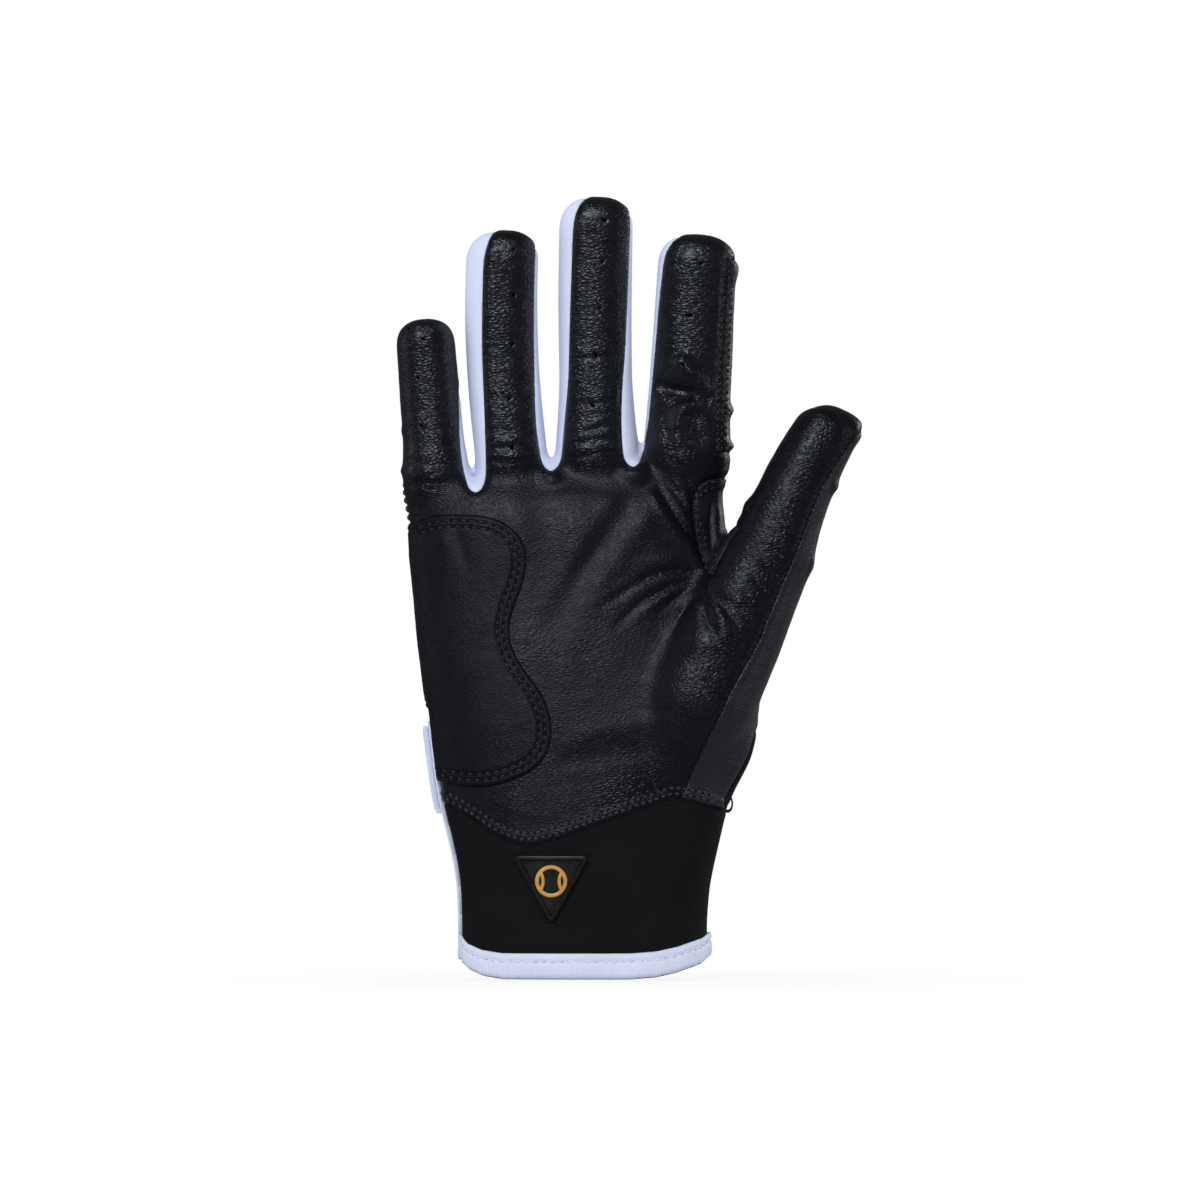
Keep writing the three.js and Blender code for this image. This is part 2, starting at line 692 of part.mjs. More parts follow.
const strapCorners = (inset) => [
  [strap.left, strap.lowLeft + inset],
  [strap.right - inset, strap.lowRight + inset],
  [strap.right - inset, strap.highRight - inset],
  [strap.left, strap.highLeft - inset],
];
const strapZone = (inset) => prism(roundedOutline(strapCorners(inset), strap.corner), strap.startY, reach);
const across = (x0, x1) => block(x0, x1, 0, reach, -reach, reach * 2);
const hookZone = (grow) => strapZone(hook.inset - grow).intersect(across(hook.left - grow, hook.right + grow));
const strapLayer = layer(strapClear, strapClear + strapThick);
const strapSolid = strapLayer
  .intersect(strapZone(0))
  .subtract(form(strapClear + hook.thick + gap).intersect(hookZone(gap)));
const hookSolid = layer(strapClear, strapClear + hook.thick).intersect(hookZone(0));
const loopCorners = [
  [loop.left, loop.low],
  [loop.right, loop.low],
  [loop.right, loop.high],
  [loop.left, loop.high],
];
const loopZone = prism(roundedOutline(loopCorners, loop.corner), sideSeamY, reach);
const loopSolid = layer(gap, gap + loop.thick).intersect(loopZone);
const tabLow = strapClear + strapThick + gap;
const tabZone = strapZone(pullTab.inset).intersect(across(pullTab.left, strap.right + pullTab.overhang));
const tabGrooves = join(
  Array.from({ length: tabRibCount }, (_, i) => {
    const at = mix(pullTab.left, strap.right, (i + 1) / (tabRibCount + 1));
    return block(at - tabRibDepth / 2, at + tabRibDepth / 2, 0, reach, -reach, reach * 2);
  }),
);
const tabSolid = layer(tabLow, tabLow + pullTab.thick)
  .intersect(tabZone)
  .subtract(layer(tabLow + pullTab.thick - tabRibDepth, tabLow + pullTab.thick + overrun).intersect(tabGrooves));

// Badge and label

const badgeCorners = (inset) => {
  const { x, top, width, height } = badge;
  const shrink = inset * 1.7;
  return [
    [x - width / 2 + shrink, top - inset],
    [x, top - height + shrink],
    [x + width / 2 - shrink, top - inset],
  ];
};
const badgeZone = (inset) => prism(roundedOutline(badgeCorners(inset), badge.corner), -reach, 0);
const badgeTop = gap + badge.thick;
const badgePlate = layer(gap, badgeTop)
  .intersect(badgeZone(0))
  .subtract(layer(badgeTop - badgeRimHeight, badgeTop + overrun).intersect(badgeZone(badgeRim)));

// A ball drawn as a ring with two curved seams that end on the ring.
function ballShape() {
  const x = badge.x;
  const z = badge.top - badge.height * ball.dropShare;
  const centre = ball.radius - ball.line / 2;
  const ring = new THREE.Shape().absarc(x, z, ball.radius, 0, Math.PI * 2);
  ring.holes.push(new THREE.Path().absarc(x, z, ball.radius - ball.line, 0, Math.PI * 2, true));
  const seams = [-1, 1].map((side) => {
    const hub = x + side * (centre + ball.radius * ball.seamShare);
    const seamRadius = ball.radius;
    const facing = side > 0 ? Math.PI : 0;
    const away = Math.abs(hub - x);
    const spread = Math.acos((away ** 2 + seamRadius ** 2 - centre ** 2) / (2 * away * seamRadius));
    const arc = new THREE.Shape();
    arc.absarc(hub, z, seamRadius + ball.line / 2, facing - spread, facing + spread);
    arc.absarc(hub, z, seamRadius - ball.line / 2, facing + spread, facing - spread, true);
    return arc;
  });
  return [ring, ...seams];
}
const plateFace = badgeTop - badgeRimHeight;
const emblem = layer(plateFace + gap, plateFace + gap + ball.thick).intersect(
  join(ballShape().map((shape) => prism(shape, -reach, 0, 8))),
);
const labelZone = prism(
  outline([
    [label.x - label.width / 2, label.z],
    [label.x + label.width / 2, label.z],
    [label.x + label.width / 2, label.z + label.height],
    [label.x - label.width / 2, label.z + label.height],
  ]),
  0,
  reach,
);
const labelSolid = layer(-wall - gap - label.thick, -wall - gap).intersect(labelZone);

// Meshes

const glove = new THREE.Group();

function addPiece(parent, name, solid, finish) {
  const mesh = new THREE.Mesh(geometryOf(solid), finish);
  mesh.name = name;
  parent.add(mesh);
}

addPiece(glove, "palm_leather", palmLeather, leather);
addPiece(glove, "heel_pad", heelPadSolid, leather);
addPiece(glove, "thumb_web_patch", webPatchSolid, leather);
addPiece(glove, "thumb_side_panel", thumbSide, microfibre);
addPiece(glove, "back_hand_panel", backHand, microfibre);
addPiece(glove, "knuckle_flex_panel", knuckleFlex, rubber);
addPiece(glove, "knuckle_yoke", knuckleYoke, microfibre);
Object.entries(webSolids).forEach(([name, solid]) => addPiece(glove, name, solid, stretchWhite));
addPiece(glove, "cuff_front", cuffFront, neoprene);
addPiece(glove, "cuff_back", cuffBack, neoprene);
addPiece(glove, "hem_binding", hemBinding, whiteTape);
addPiece(glove, "slit_binding", slitBinding, whiteTape);
addPiece(glove, "loop_patch", loopSolid, hookPile);
addPiece(glove, "wrist_strap", strapSolid, whiteStrap);
addPiece(glove, "hook_patch", hookSolid, hookPile);
addPiece(glove, "pull_tab", tabSolid, rubber);
addPiece(glove, "badge_plate", badgePlate, rubber);
addPiece(glove, "badge_emblem", emblem, goldRubber);
addPiece(glove, "size_label", labelSolid, labelCloth);

// Digits above their creases, each group standing at its crease.

function digitGroup(digit) {
  const group = new THREE.Group();
  group.position.set(digit.x, digit.y, palmTop + digit.rise);
  group.rotation.y = THREE.MathUtils.degToRad(digit.leanDeg);
  glove.add(group);
  return group;
}

const aboveCrease = block(-reach, reach, -reach, reach, half, reach);
const digitLayer = (digit, inner, outer) =>
  solidOf(digitLoft(digit, outer)).subtract(solidOf(digitLoft(digit, inner))).intersect(aboveCrease);

// A line that keeps its share of a digit's half width, as points up the digit.
function lineUp(digit, share, grow) {
  const body = digit.length - digit.dome;
  const line = digitRingShares.map(([up, toMiddle, toTip]) => [
    bowAt(digit, body * up) + (share * digitWidth(digit, toMiddle, toTip)) / 2 + grow,
    body * up,
  ]);
  const end = bowAt(digit, body) + (share * digit.tipWidth) / 2 + grow;
  return [[line[0][0], -overrun], ...line, [end, body], [end, digit.length + overrun]];
}

const between = (digit, leftShare, rightShare, grow, y0, y1) =>
  prism(outline([...lineUp(digit, rightShare, grow), ...lineUp(digit, leftShare, -grow).reverse()]), y0, y1);

const tipSeam = ({ length, dome }) => length - dome * tipOverShare;

// The palm-side panel lies before the side seam and wraps over the tip.
function frontZone(digit, grow) {
  const face = between(digit, digit.leftShare, digit.rightShare, grow, -reach, outerSeamY + grow);
  const over = between(digit, digit.leftShare, digit.rightShare, grow, -reach, reach);
  return face.add(over.intersect(above(tipSeam(digit) - grow)));
}

function backZone(digit, grow) {
  const left = digit.left === sides.none ? -outerShare : -backPanelShare;
  const right = digit.right === sides.none ? outerShare : backPanelShare;
  const zone = between(digit, left, right, grow, outerSeamY + gap - grow, reach);
  return zone.intersect(below(tipSeam(digit) - gap + grow));
}

function jointPad(digit) {
  const { lowShare, highShare, widthShare, thick } = fingerPad;
  const low = digit.length * lowShare;
  const high = digit.length * highShare;
  const halfWidth = (digit.midWidth / 2) * widthShare;
  const zone = block(-halfWidth, halfWidth, outerSeamY, reach, low, high);
  return digitLayer(digit, gap, gap + thick).intersect(zone);
}

Object.entries(digits).forEach(([name, digit]) => {
  const group = digitGroup(digit);
  const shell = digitLayer(digit, -wall, 0);
  const rest = shell.subtract(frontZone(digit, gap / 2)).subtract(backZone(digit, gap / 2));
  addPiece(group, name + "_front", shell.intersect(frontZone(digit, -gap / 2)), leather);
  addPiece(group, name + "_back", shell.intersect(backZone(digit, -gap / 2)), microfibre);
  if (digit.left === sides.gusset) {
    const solid = rest.intersect(block(-reach, 0, -reach, reach, -reach, reach));
    addPiece(group, name + "_left_gusset", solid, stretchWhite);
  }
  if (digit.right === sides.gusset) {
    const solid = rest.intersect(block(0, reach, -reach, reach, -reach, reach));
    const outer = digit === digits.index;
    const pieceName = outer ? "index_side_strip" : name + "_right_gusset";
    addPiece(group, pieceName, solid, outer ? leather : stretchWhite);
  }
  addPiece(group, name + "_flex_pad", jointPad(digit), rubber);
});

const thumbGroup = digitGroup(thumb);
const thumbShell = digitLayer(thumb, -wall, 0);
const thumbFrontZone = (grow) =>
  solidOf(thumbSeamPrism(grow)).intersect(before(thumbInnerSeamY + grow));
addPiece(thumbGroup, "thumb_front", thumbShell.intersect(thumbFrontZone(-half)), leather);
addPiece(thumbGroup, "thumb_back", thumbShell.subtract(thumbFrontZone(half)), microfibre);

// The origin is at the middle of the base of the glove's box.
glove.updateMatrixWorld(true);
const bounds = new THREE.Box3().setFromObject(glove, true);
const centre = bounds.getCenter(new THREE.Vector3());
glove.position.set(-centre.x, -centre.y, -bounds.min.z);

export default glove;
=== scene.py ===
"""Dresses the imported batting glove: sewn leather, knit, neoprene and moulded rubber.

The glove's skin is made once as one surface, folded and creased, then cut along its seams
into the panels. What lies on it, such as the heel pad and the strap, is cut from the same
surface and lifted. Lengths in the script are millimetres until a piece is finished.
"""

import math

import bmesh
import bpy
import numpy as np
from mathutils import Matrix, Vector, kdtree, noise
from mathutils.bvhtree import BVHTree


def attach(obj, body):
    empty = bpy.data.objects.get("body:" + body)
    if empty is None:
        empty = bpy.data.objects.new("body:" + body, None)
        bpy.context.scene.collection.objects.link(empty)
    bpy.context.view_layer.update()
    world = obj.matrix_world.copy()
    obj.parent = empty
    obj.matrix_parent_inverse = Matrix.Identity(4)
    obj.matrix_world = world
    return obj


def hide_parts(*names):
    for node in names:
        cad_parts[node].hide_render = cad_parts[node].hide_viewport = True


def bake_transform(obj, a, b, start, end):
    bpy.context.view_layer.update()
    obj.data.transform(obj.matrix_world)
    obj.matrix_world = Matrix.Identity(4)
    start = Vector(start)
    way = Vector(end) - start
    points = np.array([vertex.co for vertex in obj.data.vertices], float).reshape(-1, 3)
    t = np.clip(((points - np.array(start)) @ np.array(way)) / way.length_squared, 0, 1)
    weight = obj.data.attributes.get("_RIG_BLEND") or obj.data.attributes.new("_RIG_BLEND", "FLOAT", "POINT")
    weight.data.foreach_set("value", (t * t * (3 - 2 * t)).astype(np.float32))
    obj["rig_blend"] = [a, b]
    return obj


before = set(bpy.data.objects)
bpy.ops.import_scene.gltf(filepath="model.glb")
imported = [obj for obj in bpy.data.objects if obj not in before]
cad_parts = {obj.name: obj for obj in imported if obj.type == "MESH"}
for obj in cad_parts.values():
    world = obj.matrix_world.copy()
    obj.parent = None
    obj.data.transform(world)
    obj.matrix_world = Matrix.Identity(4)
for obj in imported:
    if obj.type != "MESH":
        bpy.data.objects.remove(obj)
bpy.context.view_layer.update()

bl_info = {
    "name": "Batting Glove",
    "version": (1, 0, 0),
    "blender": (4, 5, 0),
    "location": "View3D > Sidebar > Glove",
    "description": "Builds the looks of a right-hand batting glove around its packed frame",
    "category": "Add Mesh",
}

MM = 0.001
SHIFT = np.array((-12.0014, -0.0746, 0.0))  # from the glove's own middle to the frame
WALL = 1.2
FINE_VOXEL = 0.72
VOXEL = FINE_VOXEL
STEP = 0.28  # one step of the picture that folds and holes are placed in
MIDDLE_STEP, LOWEST_STEP = 585, 977  # the steps at x 0 and at z 0
PALM_POWER, DIGIT_POWER = 0.8, 0.87  # how round their sections are; 1 is an ellipse


# Sizes of the hand, as the frame has them

# Rows of (height, left, right, front, back)
CUFF = np.array(
    [
        (0, -0.495, 0.497, -0.5, 0.5),
        (0.3, -0.492, 0.487, -0.48, 0.48),
        (0.52, -0.496, 0.5, -0.475, 0.465),
        (0.7, -0.519, 0.528, -0.47, 0.455),
        (0.87, -0.55, 0.555, -0.47, 0.44),
        (1, -0.575, 0.58, -0.465, 0.425),
    ]
) * (50, 70, 70, 46, 46)
PALM = np.array(
    [
        (0.13, -0.47, 0.527, -0.71, 0.62),
        (0.26, -0.487, 0.553, -0.69, 0.59),
        (0.4, -0.506, 0.535, -0.64, 0.56),
        (0.56, -0.524, 0.466, -0.57, 0.54),
        (0.73, -0.54, 0.453, -0.51, 0.52),
        (0.88, -0.553, 0.444, -0.46, 0.48),
        (0.96, -0.553, 0.438, -0.4, 0.42),
        (1, -0.53, 0.41, -0.3, 0.32),
    ]
) * (89, 89, 89, 29, 29) + (50, 0, 0, 0, 0)
DIGITS = {
    "pinky": {
        "at": (-41.6, 0, 140.5), "lean": -4.6, "length": 43.9, "root": 26, "curl": 2.4, "bow": 0,
        "base": 19.4, "mid": 16.8, "tip": 16.6, "depth": 15.6, "dome": 8,
        "left": [(0, -1.5), (1, -1.5)], "right": [(0, 0.8), (0.2, 0.88), (0.5, 0.98), (1, 1.04)],
    },
    "ring": {
        "at": (-20.6, 0, 146), "lean": -2.1, "length": 63, "root": 30, "curl": 3.4, "bow": -1.5,
        "base": 20.2, "mid": 20.3, "tip": 20.2, "depth": 17, "dome": 9,
        "left": [(0, -0.73), (0.22, -0.62), (0.8, -0.53), (1, -0.53)],
        "right": [(0, 0.755), (0.22, 0.83), (0.5, 0.92), (1, 0.95)],
    },
    "middle": {
        "at": (3.4, 0, 148), "lean": -0.1, "length": 70.5, "root": 32, "curl": 3.6, "bow": -0.5,
        "base": 23.4, "mid": 20.4, "tip": 20.6, "depth": 17.4, "dome": 9.5,
        "left": [(0, -0.94), (0.22, -0.8), (0.5, -0.725), (0.8, -0.67), (1, -0.65)],
        "right": [(0, 0.6), (0.22, 0.7), (0.45, 0.86), (0.8, 0.94), (1, 0.96)],
    },
    "index": {
        "at": (28.4, 0, 147.5), "lean": 3.3, "length": 60.5, "root": 30, "curl": 3.2, "bow": 0,
        "base": 24.4, "mid": 23, "tip": 22, "depth": 17.4, "dome": 9.5,
        "left": [(0, -0.975), (0.4, -0.97), (0.8, -0.93), (1, -0.9)], "right": [(0, 0.74), (1, 0.74)],
    },
    "thumb": {
        "at": (52.7, -9, 121), "lean": 26, "length": 42.6, "root": 75, "curl": -1.5, "bow": -1.3,
        "base": 25, "mid": 21.3, "tip": 18.4, "depth": 20.6, "dome": 8.5,
        "thenar": (33, 31),
    },
}
FINGERS = ("pinky", "ring", "middle", "index")
WEBS = {
    "pinky_ring_web": ("pinky", "ring", -30.6, 138.6, 2.8),
    "ring_middle_web": ("ring", "middle", -9.5, 144.6, 2.6),
    "middle_index_web": ("middle", "index", 13.4, 146.0, 2.9),
}
BACK_SHARE = 0.8  # the back panel's half width, as a share of the finger's
INDEX_SHARE = 0.74  # the same of the index finger's leather, on its outer side
TIP_OVER = 0.62  # share of the fingertip's dome that the palm-side leather wraps over
INDEX_STRIP_TOP = 54.0
SIDE_Y = 2.0  # depth of the seam down the little-finger side
THUMB_SIDE_Y = 4.0
THUMB_INNER_Y = 3.0
GUSSET_Y = 3.0
WRIST = (35, 23)  # half the wrist's width and depth
SLIT_SIDE = -18  # the slit lies to the left of this

# Outlines seen from the palm side, as (x, z)
THUMB_SEAM = np.array(
    [(-3, 0.9), (-1.7, 0.63), (-1.58, 0.595), (-1.43, 0.58), (-1.28, 0.585), (-1.13, 0.6), (-0.99, 0.585),
     (-0.85, 0.61), (-0.71, 0.65), (-0.57, 0.66), (-0.5, 0.625), (-0.36, 0.597), (-0.21, 0.571), (-0.02, 0.548),
     (0.07, 0.53), (0.24, 0.476), (0.45, 0.418), (0.54, 0.446), (0.7, 0.502), (0.85, 0.577), (0.94, 0.62),
     (2, 0.8)]
) * (42.6, 12.5)
CUFF_SEAM = np.array(
    [(-1.5, 1.11), (-1.13, 0.99), (-0.91, 0.908), (-0.75, 0.824), (-0.57, 0.768), (-0.43, 0.756),
     (-0.19, 0.796), (0.13, 0.88), (0.53, 0.974), (0.7, 1.02), (0.85, 1), (1.13, 0.946), (1.5, 0.9)]
) * (35, 50)
HEM = np.array(
    [(-1.12, 1.15), (-1.02, 0.95), (-0.99, 0.64), (-0.92, 0.3), (-0.81, 0.1), (-0.65, 0), (0.36, 0),
     (0.56, 0.06), (0.72, 0.2), (0.92, 0.48), (0.99, 0.7), (1.02, 0.96), (1.12, 1.15)]
) * (35, 8.4)
HEEL_PAD = np.array(
    [(-0.1, 0.93), (0.18, 0.994), (0.38, 1), (0.585, 0.99), (0.72, 0.955), (0.807, 0.9), (0.833, 0.832),
     (0.8, 0.74), (0.732, 0.648), (0.705, 0.575), (0.732, 0.501), (0.821, 0.42), (0.93, 0.346),
     (0.983, 0.273), (1, 0.207), (0.976, 0.134), (0.908, 0.079), (0.787, 0.038), (0.618, 0.008),
     (0.449, 0.001), (0.314, 0.012), (-0.1, 0.06)]
) * (41.4, 76.2) + (-50.5, 53.4)
WEB_PATCH = np.array(
    [(0.53, 0.08), (0.2, 0.4), (0.02, 0.7), (0.1, 0.9), (0.48, 0.99), (1, 1), (2.2, 1), (2.2, 0.75),
     (1.2, 0.47), (0.8, 0.24)]
) * (9, 31.4) + (29.6, 108.2)
PATCH_CENTRE = (36.0, 124.0)
HEEL_ROWS = (1.75, 3.4)  # its rows of thread, from its edge
HEM_HEIGHT, HEM_THREAD = 7.2, 4.9
SLIT = {"low": 6.5, "high": 0.5, "top": 73, "open": 1.0, "tape": 5.2}
STRAP = [(-60, 49), (33, 37), (33, 58), (-60, 73.6)]
STRAP_LIFT, STRAP_THICK = 1.5, 1.6
BACK_CUFF = 69
FLEX_LOW, FLEX_HIGH, FLEX_DROP = 108, 127, 7
FLEX_MIDDLE, FLEX_RIGHT = -6.6, 40
BADGE = {"x": -9.4, "top": 34.5, "width": 21.8, "height": 19.4, "thick": 1.4}

# Folds of the worn leather on the palm side: a line in steps across and down the picture of the
# glove, then width and depth in millimetres. Negative depth is a ridge.
FOLDS = [
    ([(708, 582), (698, 573), (680, 569), (658, 573), (639, 581), (617, 597), (598, 608)], 1.1, 0.5),
    ([(707, 583), (685, 581), (666, 587), (644, 600), (625, 616), (612, 632)], 1.1, 0.5),
    ([(707, 584), (690, 588), (677, 596), (655, 612)], 1.0, 0.4),
    ([(706, 586), (691, 600), (680, 614), (671, 634)], 1.0, 0.5),
    ([(705, 588), (702, 608), (709, 625), (717, 638)], 1.1, 0.65),
    ([(709, 588), (720, 603), (731, 616), (740, 628)], 1.0, 0.55),
    ([(716, 592), (734, 606), (746, 617), (752, 628)], 0.9, 0.35),
    ([(704, 577), (680, 563), (652, 560), (628, 566)], 1.6, -0.28),
    ([(704, 584), (676, 591), (650, 606), (630, 625)], 1.7, -0.3),
    ([(704, 594), (694, 612), (692, 634), (700, 655)], 2.2, -0.4),
    ([(714, 603), (722, 622), (728, 642)], 1.8, -0.4),
    ([(656, 484), (668, 503), (682, 526), (696, 541), (704, 560)], 1.1, 0.6),
    ([(664, 478), (680, 496), (690, 515), (696, 532)], 1.0, 0.45),
    ([(648, 488), (662, 512), (678, 535), (694, 553)], 1.3, -0.35),
    ([(684, 470), (690, 486), (693, 505), (692, 520)], 0.9, 0.4),
    ([(672, 480), (684, 497), (693, 517)], 1.2, -0.3),
    ([(645, 476), (618, 522), (592, 556), (568, 592), (546, 640)], 3.4, 0.75),
    ([(662, 494), (636, 534), (606, 572), (586, 606), (570, 650)], 3.6, -0.5),
    ([(618, 480), (594, 528), (566, 570), (548, 610)], 3.0, -0.4),
    ([(540, 474), (542, 505), (548, 545), (552, 590)], 4.0, 0.45),
    ([(510, 478), (514, 520), (525, 560)], 4.2, -0.35),
    ([(580, 478), (578, 520), (570, 560)], 4.2, -0.35),
    ([(438, 512), (446, 540), (450, 570)], 2.4, -0.4),
    ([(452, 520), (462, 545), (470, 580)], 2.0, 0.3),
    ([(655, 386), (672, 390), (699, 397), (712, 402)], 2.1, 2.3),
    ([(676, 356), (690, 372), (704, 386)], 2.2, -1.7),
    ([(704, 380), (699, 400), (682, 409), (675, 427), (680, 448)], 1.9, -1.2),
    ([(714, 492), (711, 505), (710, 525), (712, 548), (714, 566)], 0.7, 0.6),
    ([(718, 505), (717, 530), (715, 552)], 1.4, -0.5),
    ([(656, 404), (668, 424), (672, 446)], 1.8, 0.45),
    ([(690, 410), (700, 430), (696, 452)], 2.0, 0.4),
    ([(678, 452), (688, 462), (700, 470)], 1.5, -0.35),
    ([(560, 740), (610, 726), (660, 722), (690, 728)], 3.0, -0.4),
    ([(552, 765), (600, 752), (650, 750), (688, 756)], 2.6, 0.35),
    ([(690, 640), (720, 640), (744, 632)], 3.4, -0.5),
    ([(574, 640), (612, 690), (640, 716)], 4.0, 0.35),
]
# Creases across the fingers' joints, in the same steps
CREASES = [
    (486, 399, 531, 399, 0.22), (486, 441, 534, 447, 0.4), (487, 449, 536, 452, 0.45), (489, 459, 534, 462, 0.25),
    (486, 430, 530, 432, 0.22), (571, 360, 624, 357, 0.3), (568, 434, 622, 424, 0.4), (566, 447, 622, 438, 0.45),
    (566, 458, 620, 452, 0.25), (572, 405, 622, 402, 0.25), (404, 487, 452, 481, 0.4), (404, 478, 448, 473, 0.28),
    (403, 460, 446, 463, 0.2), (402, 428, 440, 430, 0.18), (652, 412, 700, 418, 0.3), (650, 432, 715, 436, 0.3),
    (652, 446, 716, 452, 0.25), (776, 520, 806, 536, 0.25), (766, 546, 798, 560, 0.3), (758, 560, 790, 578, 0.28),
    (748, 572, 776, 600, 0.3), (740, 588, 768, 612, 0.25),
]
# Small lumps at the edges: x and z in the same steps, radius and height in millimetres
LUMPS = [
    (733, 410, 1.5, 1.3), (732, 446, 1.3, 1.2), (737, 271, 2.6, 0.7), (399, 431, 1.3, 0.55), (401, 471, 1.2, 0.5),
    (744, 503, 2.4, 0.9), (834, 487, 1.8, 0.7), (809, 566, 2.5, 0.5),
    (860, 426, 4.0, 1.0), (812, 402, 4.5, -1.0),
]
# Air holes in the fingers' leather, in the same steps
HOLES = [
    (424, 340), (418, 378), (421, 426), (514, 250), (514, 296), (512, 345), (510, 399), (512, 448),
    (605, 221), (603, 262), (600, 309), (596, 356), (592, 405), (590, 450), (701, 264), (689, 316),
    (683, 366),
]
HOLE_RADIUS = 0.5
OVERLAY_MARGIN = 2.5  # how much skin round an overlay is copied before it is cut
CORNER_SHARE = 0.34  # a corner this near to a cut, as a share of its edge, moves onto the cut


class GloveSettings(bpy.types.PropertyGroup):
    """Colours and surface sizes of the glove"""

    leather_colour: bpy.props.FloatVectorProperty(
        name="Leather", description="Colour of the palm leather", subtype="COLOR", size=3,
        default=(0.0036, 0.004, 0.0072), min=0, max=1,
    )
    side_colour: bpy.props.FloatVectorProperty(
        name="Thumb side", description="Colour of the smooth panel beside the thumb", subtype="COLOR",
        size=3, default=(0.0072, 0.0082, 0.0165), min=0, max=1,
    )
    white_colour: bpy.props.FloatVectorProperty(
        name="Stretch white", description="Colour of the white stretch cloth", subtype="COLOR", size=3,
        default=(0.64, 0.7, 0.91), min=0, max=1,
    )
    binding_colour: bpy.props.FloatVectorProperty(
        name="Binding", description="Colour of the white binding tape", subtype="COLOR", size=3,
        default=(0.66, 0.71, 0.9), min=0, max=1,
    )
    neoprene_colour: bpy.props.FloatVectorProperty(
        name="Cuff", description="Colour of the stretch cuff", subtype="COLOR", size=3,
        default=(0.0046, 0.0047, 0.0068), min=0, max=1,
    )
    gold_colour: bpy.props.FloatVectorProperty(
        name="Emblem", description="Colour of the moulded emblem", subtype="COLOR", size=3,
        default=(0.5, 0.28, 0.055), min=0, max=1,
    )
    grain_size: bpy.props.FloatProperty(
        name="Grain", description="Size of one pebble of the leather's grain", unit="LENGTH",
        default=0.0011, min=0.0002, max=0.004,
    )
    stitch_pitch: bpy.props.FloatProperty(
        name="Stitch pitch", description="Distance from one stitch to the next", unit="LENGTH",
        default=0.0024, min=0.001, max=0.006,
    )
    stitch_radius: bpy.props.FloatProperty(
        name="Thread", description="Radius of the sewing thread", unit="LENGTH",
        default=0.00034, min=0.0001, max=0.001,
    )


# The form of the hand


def smooth_rows(keys, step=2.0, rounds=3):
    """Samples rows of (height, ...) at an even step and rounds the corners between them."""
    keys = np.array(keys, float)
    count = max(2, round((keys[-1, 0] - keys[0, 0]) / step))
    heights = np.linspace(keys[0, 0], keys[-1, 0], count + 1)
    rows = np.stack([heights] + [np.interp(heights, keys[:, 0], k) for k in keys[:, 1:].T], 1)
    for _ in range(rounds):
        rows[1:-1] = (rows[:-2] + 2 * rows[1:-1] + rows[2:]) / 4
    return rows


def palm_rows():
    keys = np.vstack([CUFF[:1] - (4, 0, 0, 0, 0), CUFF, PALM])
    return smooth_rows(keys)


def digit_rows(digit):
    """Rows of (height, left, right, front, back) of a digit in its own frame."""
    d = DIGITS[digit]
    body = d["length"] - d["dome"]

    def mix(a, b, t):
        return a + (b - a) * t

    def depth(up):
        return d["depth"] * mix(1.12, 0.93, up)

    keys = [(-d["root"], d["base"] * 0.6, d["depth"] * 0.6)]
    if "thenar" in d:
        wide, deep = d["thenar"]
        keys = [
            (-d["root"], wide * 0.6, deep * 0.6),
            (-d["root"] * 0.66, wide, deep),
            (-d["root"] * 0.36, mix(wide, d["base"], 0.4), mix(deep, d["depth"], 0.4)),
        ]
    keys.append((-d["root"] * 0.1, d["base"] * 1.04, d["depth"] * 1.12))
    for up, middle, tip in [(0, 0, 0), (0.13, 0.55, 0), (0.3, 1, 0), (0.62, 1, 0.5), (1, 1, 1)]:
        keys.append((body * up, mix(mix(d["base"], d["mid"], middle), d["tip"], tip), depth(up)))
    rows = [tuple(row) for row in smooth_rows(keys)]
    for i in range(1, 11):
        rise = math.sin(math.pi / 2 * i / 10.6)
        scale = (1 - rise**2.41) ** (1 / 2.41)
        rows.append((body + d["dome"] * rise, d["tip"] * scale, depth(1) * scale))
    made = []
    for height, wide, deep in rows:
        share = min(max(height / d["length"], 0), 1)
        across = d["bow"] * math.sin(math.pi * share)
        middle = -d["curl"] * share**2
        made.append((height, across - wide / 2, across + wide / 2, middle - deep / 2, middle + deep / 2))
    return made


def web_rows(x, top):
    return [
        (height, x - 8.5 * scale, x + 8.5 * scale, -10 * scale, 10 * scale)
        for height, scale in [(top - 30, 1), (top - 5, 1), (top - 1.9, 0.75), (top, 0.3)]
    ]


def digit_place(digit):
    d = DIGITS[digit]
    return Matrix.Translation(d["at"]) @ Matrix.Rotation(math.radians(d["lean"]), 4, "Y")


def squared_circle(turn, power):
    """Across and deep on a rounded square of half width 1, at a turn; power 1 is a circle."""
    return [np.copysign(np.abs(wave) ** power, wave) for wave in (np.cos(turn), np.sin(turn))]


def add_tube(bm, rows, sides, power, place=Matrix()):
    """Wraps a grid into a closed tube whose rings are rounded squares."""
    made = bmesh.ops.create_grid(bm, x_segments=sides, y_segments=len(rows) - 1, size=0.5)
    for v in made["verts"]:
        height, left, right, front, back = rows[round((v.co.y + 0.5) * (len(rows) - 1))]
        across, deep = squared_circle(2 * math.pi * (v.co.x + 0.5), power)
        v.co = place @ Vector(
            ((left + right) / 2 + (right - left) / 2 * across, (front + back) / 2 + (back - front) / 2 * deep, height)
        )
    bmesh.ops.remove_doubles(bm, verts=made["verts"], dist=1e-4)
    bmesh.ops.holes_fill(bm, edges=[e for e in bm.edges if e.is_boundary], sides=0)


def new_object(mesh, name):
    obj = bpy.data.objects.new(name, mesh)
    mesh.name = name
    bpy.context.scene.collection.objects.link(obj)
    return obj


